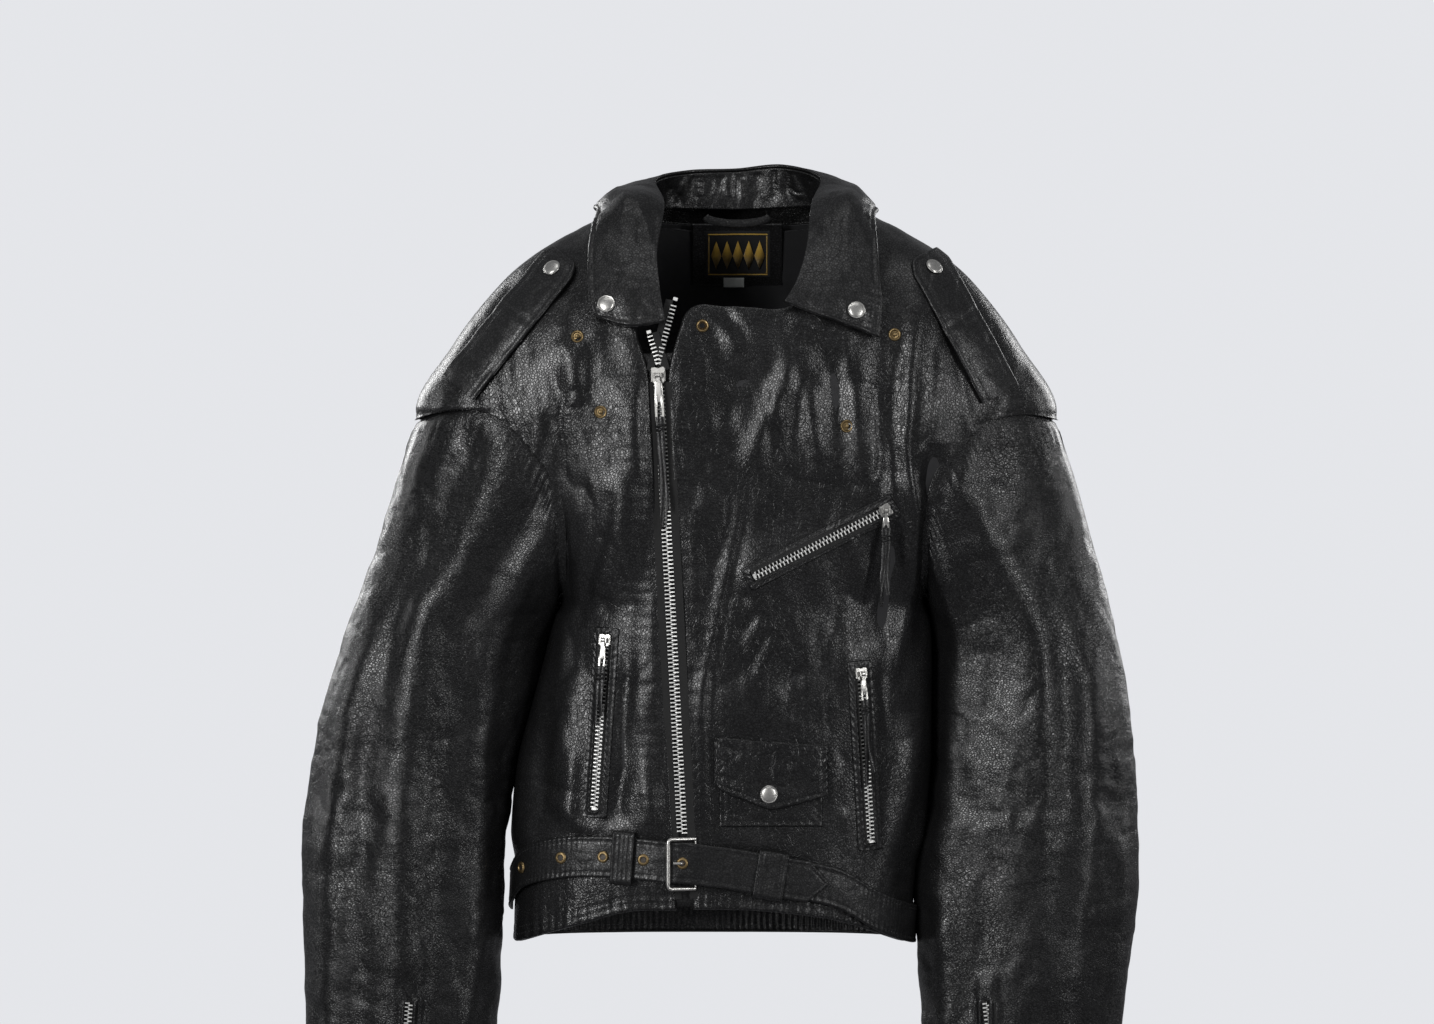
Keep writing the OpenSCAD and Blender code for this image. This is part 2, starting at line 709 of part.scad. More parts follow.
flap_low = 3.6; // height of the flap's underside over the skin
coin_snap = [30, 124];
module coin_flap() {
    grid = [
        for (i = [0 : 3]) [
            for (j = [0 : 6])
                let (top = mix(flap_right, flap_left, j / 6), k = 1 - abs(j / 3 - 1))
                top - [0, (flap_drop + flap_point * k) * (1 - i / 3)]
        ]
    ];
    color(black)
        difference() {
            skin_sheet(grid, flap_low, flap_low + 1.6);
            standing(coin_snap.x, coin_snap.y, flap_low) cap_hole();
        }
}

module coin_cap() { standing(coin_snap.x, coin_snap.y, flap_low) snap_cap(); }
module coin_stud() { standing(coin_snap.x, coin_snap.y, 2) snap_stud(); }

// ---- Epaulettes ------------------------------------------------------------

// Strap along the shoulder, from the snap by the collar to the sleeve head; t from the snap end
function epaulette_point(side, t, k) =
    let (
        snap = side == RIGHT ? [-148, 572] : [166, 573],
        root = side == RIGHT ? [-232, 468] : [226, 462],
        d = unit(root - snap),
        across = [d.y, -d.x],
        width = 38,
        nose = t < 0.08 ? 0.72 : 1
    )
    mix(snap - d * 9, root, t) + across * (width / 2) * k * nose;
module epaulette(side) {
    grid = [
        for (i = [0 : 9]) [
            for (k = side == RIGHT ? [-1, 0, 1] : [1, 0, -1])
                epaulette_point(side, i / 9, k * 0.9)
        ]
    ];
    snap = epaulette_snap(side);
    color(black)
        difference() {
            skin_sheet(grid, strap_over, strap_over + 1.6, flip = side == RIGHT);
            standing(snap.x, snap.y, strap_over) cap_hole();
        }
}
strap_over = 3; // height of an epaulette's underside over the skin
function epaulette_snap(side) = epaulette_point(side, 0.11, 0);

module epaulette_right() { epaulette(RIGHT); }
module epaulette_left() { epaulette(LEFT); }
module epaulette_cap(side) {
    snap = epaulette_snap(side);
    standing(snap.x, snap.y, strap_over) snap_cap();
}
module epaulette_right_cap() { epaulette_cap(RIGHT); }
module epaulette_left_cap() { epaulette_cap(LEFT); }
module epaulette_studs() {
    for (side = [RIGHT, LEFT]) {
        snap = epaulette_snap(side);
        standing(snap.x, snap.y, 0.3) snap_stud();
    }
}

// ---- Belt ------------------------------------------------------------------

// Height of the belt's middle line at an angle around the body
strap_keys = [
    [64, 48], [72, 50.5], [81, 55.5], [88, 60.5], [92.4, 65], [97.7, 66.5], [103.7, 68.5], [115.9, 70.5],
    [132.5, 69], [156.5, 59], [172, 44], [190, 34]
];
base_keys = [[-14, 8], [10, 10], [30, 16], [45, 26], [60, 43], [72, 50.5], [81, 55.5], [88, 60.5], [92.4, 65]];
// Height of a layer's underside over the skin: the strap climbs over the buckle's bar
strap_over_keys = [[64, 6.4], [98, 6.4], [108, 2.6], [190, 2.6]];
base_over = 2.2;
function strap_point(a) = around(a, smooth(strap_keys, a), 0);
function strap_rise(a) = smooth(strap_over_keys, a);

module belt_band(keys, over_keys, a0, a1, steps, width, tip = 0) {
    function wide(a) = width / 2 * (a < a0 + tip ? 0.15 + 0.85 * (a - a0) / tip : 1);
    grid = [for (k = [-1, 0, 1]) [for (i = [0 : steps]) [mix(a0, a1, i / steps), k]]];
    function lay(p, h) = around(p.x, smooth(keys, p.x) + p.y * wide(p.x), smooth(over_keys, p.x) + h);
    sheet([for (row = grid) [for (p = row) lay(p, belt_thick)]], [for (row = grid) [for (p = row) lay(p, 0)]]);
}

eyelet_top = belt_thick + 1.5; // height of an eyelet's rim over the strap's underside
fastened = 94.7; // the eyelet that the prong is in
eyelets = [fastened, 103.7, 115.9, 132.5, 156.5];
module belt_strap() {
    color(black)
        difference() {
            belt_band(strap_keys, strap_over_keys, 65, 186, 30, belt_width, 6);
            for (a = eyelets)
                standing_at(strap_point(a), strap_rise(a) - 3)
                    cylinder(h = belt_thick + 6, r = eyelet_hole + 1, $fn = 32);
        }
}

module belt_eyelets() {
    color(brass)
        for (a = eyelets)
            standing_at(strap_point(a), strap_rise(a))
                rotate_extrude($fn = 40)
                    polygon([
                        [eyelet_hole, -0.6], [eyelet_hole + 0.7, -0.6], [eyelet_hole + 0.7, belt_thick + 0.7],
                        [eyelet_hole + 2.2, belt_thick + 0.7], [eyelet_hole + 1.5, eyelet_top],
                        [eyelet_hole, eyelet_top]
                    ]);
}

// The base's end is wrapped round the buckle's bar, with a gap in the middle for the prong
module belt_base() {
    color(black) {
        belt_band(base_keys, [[-14, base_over], [102, base_over]], -10, 90.3, 24, belt_width - 2);
        standing_at(buckle_point(), bar_rise)
            for (y = [-belt_width / 2 + 1, 3.2])
                translate([0, y, 0])
                    rotate([-90, 0, 0])
                        difference() {
                            cylinder(h = belt_width / 2 - 4.2, r = 2.7, $fn = 32);
                            translate([0, 0, -1]) cylinder(h = belt_width, r = bar + 0.3, $fn = 32);
                        }
    }
}

// Rectangular band around the belt layers, with its inside from low to high over the skin
module band(width, height, low, high, wall = 1.3) {
    translate([-width / 2, -height / 2 - wall, low - wall])
        difference() {
            cube([width, height + 2 * wall, high - low + 2 * wall]);
            translate([-1, wall, wall]) cube([width + 2, height, high - low]);
        }
}

loop_angle = 109.6;
module belt_loop() {
    color(black) standing_at(strap_point(loop_angle)) band(18, belt_width + 5, 2, 7.5);
}

keeper_angle = 81;
keeper_slope = -9.5;
module belt_keeper() {
    color(black)
        standing_at(strap_point(keeper_angle))
            rotate([0, 0, keeper_slope]) band(26, belt_width + 4, 1.5, 10.6, 1.1);
}

// Buckle: a wire frame that turns on its bar, with the prong on the same bar
buckle_angle = 92.4;
buckle_reach = 23;
buckle_height = belt_width + 7;
bar = 1; // radius of the bar
bar_rise = base_over + belt_thick / 2;
frame_rise = 10.9; // height of the frame's far bar over the skin
function buckle_point() = strap_point(buckle_angle);
// A ring of square wire that leans up from the bar to its far side
module buckle_frame() {
    lean = atan2(frame_rise - bar_rise, buckle_reach);
    reach = norm([frame_rise - bar_rise, buckle_reach]);
    across = buckle_height + 2 * wire;
    color(steel)
        standing_at(buckle_point(), bar_rise)
            rotate([0, lean, 0]) {
                difference() {
                    translate([-reach - wire, -across / 2, -wire]) cube([reach + 2 * wire, across, 2 * wire]);
                    translate([-reach + wire, -across / 2 + 2 * wire, -3])
                        cube([reach + 3, across - 4 * wire, 6]);
                }
                rotate([90, 0, 0]) cylinder(h = across - wire, r = bar, center = true, $fn = 32);
            }
}

// Where the fastened eyelet is in the buckle's own frame
function eye_offset() =
    let (
        n = skin_normal(buckle_point()),
        up = unit([0, 0, 1] - n.z * n),
        d = strap_point(fastened) - buckle_point()
    )
    [d * cross(up, n), d * up, 0];
// A flat prong bent up through the eyelet, on a barrel that sits on the bar
module buckle_prong() {
    half = 1;
    top = strap_rise(fastened) + eyelet_top + half + 0.2 - bar_rise;
    eye = eye_offset();
    tip = -buckle_reach + 4.6;
    color(steel)
        standing_at(buckle_point(), bar_rise)
            translate([0, eye.y, 0])
                rotate([90, 0, 0])
                    difference() {
                        union() {
                            cylinder(h = 4, r = 2.1, center = true, $fn = 32);
                            linear_extrude(2 * half, center = true)
                                polygon([
                                    [-1.4, -half], [eye.x - half, -half], [eye.x - half, top - half],
                                    [tip, top - half], [tip, top + half], [eye.x + half, top + half],
                                    [eye.x + half, half], [-1.4, half]
                                ]);
                        }
                        cylinder(h = 6, r = bar + 0.2, center = true, $fn = 32);
                    }
}

// ---- Sleeves ---------------------------------------------------------------

// Each station: [share of the length, [outer x, z], [inner x, z], half depth, middle y]
right_stations = [
    [0, side_point(RIGHT, z_tip), side_point(RIGHT, z_underarm), sleeve_depth + 8, 0],
    [0.2, [-317, 307], [-161, 250], sleeve_depth + 3, -2],
    [0.35, [-340, 244], [-174, 201], sleeve_depth, -5], [0.5, [-362, 160], [-189, 145], sleeve_depth - 2, -9],
    [0.65, [-370, 68], [-196, 73], sleeve_depth - 6, -14], [0.8, [-368, -20], [-200, -20], sleeve_depth - 12, -19],
    [0.9, [-364, -90], [-210, -90], sleeve_depth - 18, -22], [1, [-358, z_cuff], [-228, z_cuff], cuff_depth, -25]
];
left_stations = [
    [0, side_point(LEFT, z_tip), side_point(LEFT, z_underarm), sleeve_depth + 8, 0],
    [0.2, [319, 307], [173, 250], sleeve_depth + 3, -2],
    [0.35, [334, 244], [173, 201], sleeve_depth, -5], [0.5, [345, 160], [173, 145], sleeve_depth - 2, -9],
    [0.65, [349, 68], [169, 73], sleeve_depth - 6, -14], [0.8, [342, -20], [166, -20], sleeve_depth - 12, -19],
    [0.9, [334, -90], [170, -90], sleeve_depth - 18, -22], [1, [326, z_cuff], [196, z_cuff], cuff_depth, -25]
];
function station(side, s, k) =
    smooth([for (row = side == RIGHT ? right_stations : left_stations) [row[0], row[k]]], s);
head_open = 12; // least half opening of a sleeve's head, away from its two ends
// Point on a sleeve: s along it from the armhole, a around it, 0 at the outer edge and 90 at the front
function sleeve_point(side, s, a) =
    let (
        c = cos(a),
        sn = sin(a),
        fade = ease(s / 0.3),
        inner = station(side, s, 2),
        outer = station(side, s, 1),
        flat = mix(inner, outer, (c + 1) / 2),
        seam_at = armhole(side, c, arm_gap),
        bulge = seam_at - mix(side_point(side, z_underarm), side_point(side, z_tip), (c + 1) / 2),
        p = flat + bulge * (1 - fade),
        face = sn >= 0 ? FRONT : BACK,
        depth = station(side, s, 3),
        tube_y = station(side, s, 4) - sn * depth,
        head_y = face * max(skin_y(seam_at.x, seam_at.y), head_open * abs(sn))
    )
    [p.x, mix(head_y, tube_y, ease(s / 0.22)), p.y];

sleeve_cols = 24;
sleeve_rows = 15;
slit_half = pocket_chain / 2 + 1.1; // half width of the cuff's slit
// Where the cuff's slit runs: the angle around the sleeve, and its upper end as a share of the sleeve's length
function slit_angle(side) = side == RIGHT ? 97 : 116;
slit_top = 0.845;
function slit_high(side) = sleeve_point(side, slit_top, slit_angle(side));
function slit_low(side) = sleeve_point(side, 1, slit_angle(side));
function slit_out(side) =
    let (
        s = (1 + slit_top) / 2,
        a = slit_angle(side),
        turn = sleeve_point(side, s, a + 2) - sleeve_point(side, s, a - 2),
        run = sleeve_point(side, s + 0.02, a) - sleeve_point(side, s - 0.02, a)
    )
    unit(side * cross(turn, run));
module along_slit(side) { between(slit_low(side), slit_high(side), slit_out(side)) children(); }
function sleeve_grid(side) =
    [for (i = [0 : sleeve_rows]) [for (j = [0 : sleeve_cols - 1])
        sleeve_point(side, i / sleeve_rows, 360 * j / sleeve_cols)]];
module sleeve(side) {
    grid = sleeve_grid(side);
    color(black)
        difference() {
            sheet(grid, lifted(grid, side * leather * 1.2, true), flip = side == RIGHT, tube = true);
            along_slit(side)
                translate([-slit_half, -10, -12])
                    cube([2 * slit_half, norm(slit_high(side) - slit_low(side)) + 10, 24]);
        }
}

module sleeve_right() { sleeve(RIGHT); }
module sleeve_left() { sleeve(LEFT); }

// Cuff zip: the slider rests at the cuff edge and runs up to open the slit
cuff_start = 9; // from the cuff edge to the slider's middle
cuff_pull_length = 24;
module cuff_teeth(side) {
    length = norm(slit_high(side) - slit_low(side)) - 4;
    color(steel)
        along_slit(side)
            translate([0, 1, 0])
                for (hand = [-1, 1])
                    tooth_row(length, pocket_chain, pocket_pitch, hand, hand < 0 ? 0.2 : 0.2 + pocket_pitch / 2);
}
module cuff_slider(side) {
    color(steel) along_slit(side) translate([0, cuff_start, 1.2]) slider(pocket_chain);
}
module cuff_pull(side) {
    color(steel)
        along_slit(side)
            translate([0, cuff_start, pin_rise(pocket_chain) + 1.2]) pull(pocket_chain, cuff_pull_length);
}
module cuff_right_teeth() { cuff_teeth(RIGHT); }
module cuff_right_slider() { cuff_slider(RIGHT); }
module cuff_right_pull() { cuff_pull(RIGHT); }
module cuff_left_teeth() { cuff_teeth(LEFT); }
module cuff_left_slider() { cuff_slider(LEFT); }
module cuff_left_pull() { cuff_pull(LEFT); }

front_right_panel();
front_left_panel();
back_panel();
back_yoke();
body_lining();
hem_facing();
collar();
collar_stand();
collar_snaps();
lapel_studs();
label_patch();
size_tag();
hang_loop();
main_zip_tape();
main_teeth_right();
main_teeth_left();
zip_underlay();
main_slider();
main_pull();
main_thong();
pocket_welts();
pocket_bags();
chest_teeth();
chest_slider();
chest_pull();
chest_thong();
hand_right_teeth();
hand_right_slider();
hand_right_pull();
hand_right_thong();
hand_left_teeth();
hand_left_slider();
hand_left_pull();
hand_left_thong();
coin_pocket();
coin_flap();
coin_cap();
coin_stud();
epaulette_right();
epaulette_right_cap();
epaulette_left();
epaulette_left_cap();
epaulette_studs();
belt_strap();
belt_base();
belt_eyelets();
belt_loop();
belt_keeper();
buckle_frame();
buckle_prong();
sleeve_right();
sleeve_left();
cuff_right_teeth();
cuff_right_slider();
cuff_right_pull();
cuff_left_teeth();
cuff_left_slider();
cuff_left_pull();
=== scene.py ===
"""Looks of the black leather riding jacket, built round its CAD frame.

Lengths are in millimetres until a mesh is made.
"""
import math

import bpy
import bmesh
import numpy as np
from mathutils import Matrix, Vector


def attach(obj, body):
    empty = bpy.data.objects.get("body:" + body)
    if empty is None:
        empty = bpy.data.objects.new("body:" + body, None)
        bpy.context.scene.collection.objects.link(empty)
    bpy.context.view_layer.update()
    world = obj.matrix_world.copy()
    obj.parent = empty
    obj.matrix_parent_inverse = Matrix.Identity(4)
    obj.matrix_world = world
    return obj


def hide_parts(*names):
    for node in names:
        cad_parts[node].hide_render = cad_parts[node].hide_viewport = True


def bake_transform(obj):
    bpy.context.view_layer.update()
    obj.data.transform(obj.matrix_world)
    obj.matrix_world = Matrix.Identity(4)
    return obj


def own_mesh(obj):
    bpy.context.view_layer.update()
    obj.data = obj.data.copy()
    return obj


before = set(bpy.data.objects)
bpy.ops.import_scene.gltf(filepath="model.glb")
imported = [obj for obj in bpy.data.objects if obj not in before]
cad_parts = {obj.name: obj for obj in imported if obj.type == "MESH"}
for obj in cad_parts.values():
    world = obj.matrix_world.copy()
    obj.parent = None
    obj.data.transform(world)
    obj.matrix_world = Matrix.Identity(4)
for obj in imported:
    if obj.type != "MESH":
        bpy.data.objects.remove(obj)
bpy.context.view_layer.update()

MM = 0.001
RIGHT, LEFT = -1, 1  # the wearer's right is on -X
FRONT, BACK = -1, 1  # the front faces -Y
FINE = 1.0


# ---- Curves and noise ------------------------------------------------------

def unit(v):
    v = np.asarray(v, float)
    return v / np.maximum(np.linalg.norm(v, axis=-1, keepdims=True), 1e-12)


def mix(a, b, t):
    return a + (b - a) * t


def ease(t):
    k = np.clip(t, 0, 1)
    return k * k * (3 - 2 * k)


def smooth(keys, x):
    """Curve through keys of (position, value), the same as the CAD's."""
    xs = np.array([k[0] for k in keys], float)
    vs = np.array([np.atleast_1d(k[1]) for k in keys], float)
    n = len(xs)
    lo, hi = np.maximum(np.arange(n) - 1, 0), np.minimum(np.arange(n) + 1, n - 1)
    slope = (vs[hi] - vs[lo]) / (xs[hi] - xs[lo])[:, None]
    x = np.asarray(x, float)
    i = np.clip(np.searchsorted(xs, x, side="right") - 1, 0, n - 2)
    span = (xs[i + 1] - xs[i])[..., None]
    t = np.clip((x - xs[i]) / (xs[i + 1] - xs[i]), 0, 1)[..., None]
    out = (
        vs[i] * (2 * t**3 - 3 * t**2 + 1) + slope[i] * span * (t**3 - 2 * t**2 + t)
        + vs[i + 1] * (3 * t**2 - 2 * t**3) + slope[i + 1] * span * (t**3 - t**2)
    )
    return out[..., 0] if out.shape[-1] == 1 else out


def hump(d, width):
    """1 where d is 0, falling away on both sides."""
    return np.exp(-((d / width) ** 2))


def spline(points, t):
    return smooth(list(enumerate(points)), np.asarray(t, float) * (len(points) - 1))


def walk(points, t, soften=0.0):
    """Point at a share t of a polyline's length; soften rounds its corners over that share."""
    pts = np.array(points, float)
    run = np.concatenate([[0], np.cumsum(np.linalg.norm(np.diff(pts, axis=0), axis=1))])
    run /= run[-1]
    t = np.asarray(t, float)
    if not soften:
        return np.stack([np.interp(t, run, pts[:, k]) for k in range(pts.shape[1])], -1)
    taps = np.linspace(-1, 1, 9) * soften
    room = np.minimum(1, np.minimum(t, 1 - t) / soften)
    return np.mean([walk(pts, t + k * room) for k in taps], axis=0)


def lattice(cell, seed):
    """A repeatable number from -1 to 1 for each whole-numbered cell."""
    k = cell.astype(np.int64)
    h = (k[..., 0] * 73856093) ^ (k[..., 1] * 19349663) ^ (k[..., 2] * 83492791) ^ (seed * 2654435761)
    with np.errstate(over="ignore"):
        h = (h ^ (h >> 13)) * 1274126177 & 0xFFFFFFFF
    h = (h ^ (h >> 16)) & 0xFFFFFF
    return h / float(0x7FFFFF) - 1


def noise(p, size, seed):
    """Smooth noise from about -1 to 1; size is the cell in mm, one number or one for each axis."""
    q = p / np.asarray(size, float) + 31.7 * seed
    base = np.floor(q)
    f = q - base
    f = f * f * f * (f * (f * 6 - 15) + 10)
    total = 0
    for corner in np.ndindex(2, 2, 2):
        c = np.array(corner)
        weight = np.prod(np.where(c == 1, f, 1 - f), axis=-1)
        total = total + weight * lattice(base + c, seed)
    return total


def upright(x, z, y=0.0):
    """Points in a plane that faces the front, to sample noise at."""
    return np.stack([x, y + 0 * x, z], -1)


def layered(p, size, seed, octaves=3):
    size = np.asarray(size, float)
    return sum(noise(p, size / 1.9**k, seed + k) * 0.55**k for k in range(octaves))


def creased(p, size, seed):
    """Sharp-bottomed creases between rounded pillows, from -1 in a crease to 0."""
    return -(1 - np.abs(layered(p, size, seed, 2))) ** 6


def stroke(x, z, line, width, height):
    """A rounded ridge (or valley, if height is negative) along a line of (x, z), fading at its ends."""
    line = np.array(line, float)
    steps = np.linalg.norm(np.diff(line, axis=0), axis=1)
    run = np.concatenate([[0], np.cumsum(steps)])
    best, share = np.full(np.shape(x), 1e9), np.zeros(np.shape(x))
    for a, b, r0, step in zip(line[:-1], line[1:], run, steps):
        d = (b - a) / step
        along = np.clip((x - a[0]) * d[0] + (z - a[1]) * d[1], 0, step)
        dx, dz = x - a[0] - along * d[0], z - a[1] - along * d[1]
        gap = np.hypot(dx, dz)
        near = gap < best
        best = np.where(near, gap, best)
        share = np.where(near, (r0 + along) / run[-1], share)
    fade = np.sin(np.pi * np.clip(share, 0, 1)) ** 0.6
    return height * fade * hump(best, width)


# ---- The jacket's skin, as in the CAD source --------------------------------

SQUARE = 2.8
Z_UNDERARM, Z_TIP, Z_NECK, Z_CUFF = 287, 442, 620, -184
HEM_HALF, CHEST_HALF, SHOULDER_HALF, NECK_HALF, LEAN = 171, 158, 275, 110, -18
HEM_DEPTH, CHEST_DEPTH, HEM_RISE = 92, 102, 26
LEATHER = 1.6
HALF = [
    (-20, HEM_HALF), (0, HEM_HALF), (140, HEM_HALF + 2.5), (201, HEM_HALF - 4.5),
    (Z_UNDERARM - 28, CHEST_HALF + 1),
    (Z_UNDERARM, CHEST_HALF), (350, 200), (Z_TIP, SHOULDER_HALF), (508, 243), (560, 203), (585, 174),
    (605, 140), (Z_NECK, NECK_HALF), (650, 70),
]
MIDDLE = [(-20, LEAN), (0, LEAN), (140, LEAN / 2 + 1), (Z_UNDERARM, 9), (Z_TIP, 3), (Z_NECK, 5)]
DEPTH = [
    (-20, HEM_DEPTH - 0.5), (0, HEM_DEPTH), (250, (HEM_DEPTH + CHEST_DEPTH) / 2), (500, CHEST_DEPTH),
    (545, CHEST_DEPTH - 9), (585, CHEST_DEPTH - 28), (Z_NECK, CHEST_DEPTH - 58), (650, 20),
]


def skin_y(x, z):
    r = np.minimum(1, np.abs(x - smooth(MIDDLE, z)) / smooth(HALF, z))
    return smooth(DEPTH, z) * (1 - r**SQUARE) ** (1 / SQUARE)


def fill(q):
    return (
        (np.abs(q[..., 0] - smooth(MIDDLE, q[..., 2])) / smooth(HALF, q[..., 2])) ** SQUARE
        + (np.abs(q[..., 1]) / smooth(DEPTH, q[..., 2])) ** SQUARE
    )


def skin_normal(q):
    return unit(np.stack([fill(q + d / 2) - fill(q - d / 2) for d in np.eye(3)], -1))


def on_skin(face, x, z, h=0.0):
    x, z, h = np.broadcast_arrays(np.asarray(x, float), np.asarray(z, float), np.asarray(h, float))
    q = np.stack([x, face * skin_y(x, z), z], -1)
    return q + h[..., None] * skin_normal(q)


def front(x, z, h=0.0):
    return on_skin(FRONT, x, z, h)


def around(a, z, h):
    """Point at height h over the skin at an angle round the body, 0 at +X and 90 at the front."""
    a = np.radians(a)
    c, s, e = np.cos(a), np.sin(a), 2 / SQUARE
    q = np.stack([
        smooth(MIDDLE, z) + smooth(HALF, z) * np.sign(c) * np.abs(c) ** e,
        -smooth(DEPTH, z) * np.sign(s) * np.abs(s) ** e, z + 0 * a,
    ], -1)
    return q + np.asarray(h)[..., None] * skin_normal(q)


def side_point(side, z):
    return np.stack([smooth(MIDDLE, z) + side * smooth(HALF, z), np.asarray(z, float)], -1)


def armhole(side, c, push=0.0):
    """Armhole seam in the front view, c from -1 under the arm to 1 at the shoulder tip."""
    low, tip = side_point(side, Z_UNDERARM), side_point(side, Z_TIP)
    d = unit(tip - low)
    inward = -side * np.array([d[1], -d[0]])
    belly = 62 if side == RIGHT else 54
    c = np.asarray(c, float)
    bow = np.where(c > 0, 1 - np.maximum(c, 0) ** 4, 1 - np.maximum(-c, 0) ** 1.6)
    return mix(low, tip, (c[..., None] + 1) / 2) + inward * (bow * belly - push)[..., None]


# ---- Fronts and back ---------------------------------------------------------

ZIP_FOOT, ZIP_TOP = np.array([-43.0, 90.0]), np.array([-63.0, 477.0])
RIGHT_TOP, LEFT_TOP = np.array([-74.0, 512.0]), np.array([-46.0, 540.0])
CHAIN, POCKET_CHAIN, POCKET_PITCH = 7.8, 5.8, 3.4  # widths of the chains, and a step of teeth
PIN_RISE = 4.3  # of a pull's pin over the teeth
SEAM_SHARE, YOKE_SHARE = 0.5, 0.8
SIDE_DROP = 6  # the hem hangs this far under the hem line at the sides and back


def zip_x(z):
    return ZIP_FOOT[0] + (ZIP_TOP[0] - ZIP_FOOT[0]) * (z - ZIP_FOOT[1]) / (ZIP_TOP[1] - ZIP_FOOT[1])


def near_edge(side):
    if side == RIGHT:
        gap = CHAIN / 2 + 4.2
        return [
            (zip_x(HEM_RISE) - gap, HEM_RISE), (ZIP_TOP[0] - gap, ZIP_TOP[1] + 6),
            (RIGHT_TOP[0] - gap, RIGHT_TOP[1]),
            (-86, 560), (-101, 604), tuple(side_point(RIGHT, Z_NECK)),
        ]
    gap = CHAIN / 2 + 2.2
    return [
        (zip_x(HEM_RISE) + gap, HEM_RISE), (ZIP_TOP[0] + gap + 1, ZIP_TOP[1] + 6),
        (LEFT_TOP[0] + gap + 1, LEFT_TOP[1]),
        (43, 533), (84, 560), (106, 596), tuple(side_point(LEFT, Z_NECK)),
    ]


def side_edge(side, v, drop=0.0):
    """Side edge of a panel, its hem end a drop under the hem line."""
    v = np.asarray(v, float)
    share = np.minimum(v, SEAM_SHARE) / SEAM_SHARE
    seam = side_point(side, Z_UNDERARM * share - drop * (1 - share))
    arm = armhole(side, 2 * (np.maximum(v, SEAM_SHARE) - SEAM_SHARE) / (1 - SEAM_SHARE) - 1)
    return np.where((v < SEAM_SHARE)[..., None], seam, arm)


def patch(bottom, top, near, far, u, v):
    """Four-sided patch filled between its edges, on a grid of u across and v up."""
    one = np.ones(1)
    U, V = u[None, :, None], v[:, None, None]
    corner = {(i, j): (near, far)[i](one * j)[0] for i in (0, 1) for j in (0, 1)}
    flat = (1 - V) * bottom(u)[None] + V * top(u)[None] + (1 - U) * near(v)[:, None] + U * far(v)[:, None]
    return flat - (
        (1 - U) * (1 - V) * corner[0, 0] + (1 - U) * V * corner[0, 1]
        + U * (1 - V) * corner[1, 0] + U * V * corner[1, 1]
    )


def front_patch(side, u, v):
    edge = near_edge(side)
    wave = 3.0 if side == RIGHT else 0.0  # the right front's hem curls at its inner corner

    def near(t):
        return walk(edge, t, 0.02)

    def far(t):
        return side_edge(side, t, SIDE_DROP)

    def bottom(t):
        a, b = near(np.zeros(1))[0][0], far(np.zeros(1))[0][0]
        x = mix(a, b, t)
        r = (x - smooth(MIDDLE, 0)) / smooth(HALF, 0)
        level = HEM_RISE * (1 - r * r) - SIDE_DROP * ease((t - 0.6) / 0.4)
        return np.stack([x, level + wave * np.sin(7 * t) * (1 - t) * t * 4], -1)

    def top(t):
        return side_point(side, mix(Z_NECK, Z_TIP, t))

    vv = np.where(v < 0.8, v, 0.8 + 0.2 * np.sin(np.pi / 2 * (v - 0.8) / 0.2))
    return patch(bottom, top, near, far, np.sin(np.pi / 2 * u), vv)


def back_patch(u, v):
    dip, neck_share = 8, 0.22
    ends = 0.5 - neck_share

    def near(t):
        return side_edge(RIGHT, t, SIDE_DROP)

    def far(t):
        return side_edge(LEFT, t, SIDE_DROP)

    def bottom(t):
        return mix(near(np.zeros(1)), far(np.zeros(1)), t[:, None])

    def top(t):
        k = np.clip((t - 0.5) / neck_share, -1, 1)
        neck = np.stack([smooth(MIDDLE, Z_NECK) + k * NECK_HALF, Z_NECK - dip * (1 - k * k)], -1)
        left = side_point(RIGHT, mix(Z_TIP, Z_NECK, np.clip(t / ends, 0, 1)))
        right = side_point(LEFT, mix(Z_TIP, Z_NECK, np.clip((1 - t) / ends, 0, 1)))
        return np.where((t < ends)[:, None], left, np.where((t > 1 - ends)[:, None], right, neck))

    return patch(bottom, top, near, far, (1 - np.cos(np.pi * u)) / 2, v)


# ---- Mesh building -----------------------------------------------------------

def new_object(name, verts, faces, materials, faces_material=None):
    """Mesh object from millimetre vertices; its faces are turned to point outward."""
    mesh = bpy.data.meshes.new(name)
    mesh.from_pydata((np.asarray(verts, float) * MM).tolist(), [], [list(map(int, f)) for f in faces])
    for m in materials:
        mesh.materials.append(m)
    if faces_material is not None:
        mesh.polygons.foreach_set("material_index", np.asarray(faces_material, np.int32))
    bm = bmesh.new()
    bm.from_mesh(mesh)
    bmesh.ops.recalc_face_normals(bm, faces=bm.faces)
    bm.to_mesh(mesh)
    bm.free()
    mesh.polygons.foreach_set("use_smooth", [True] * len(mesh.polygons))
    obj = bpy.data.objects.new(name, mesh)
    bpy.context.scene.collection.objects.link(obj)
    return obj


def fit(obj, body, slot, *nodes):
    """Ties a piece to its body; it stands in for the CAD nodes named. The slot argument is not used."""
    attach(obj, body)
    if nodes:
        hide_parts(*nodes)


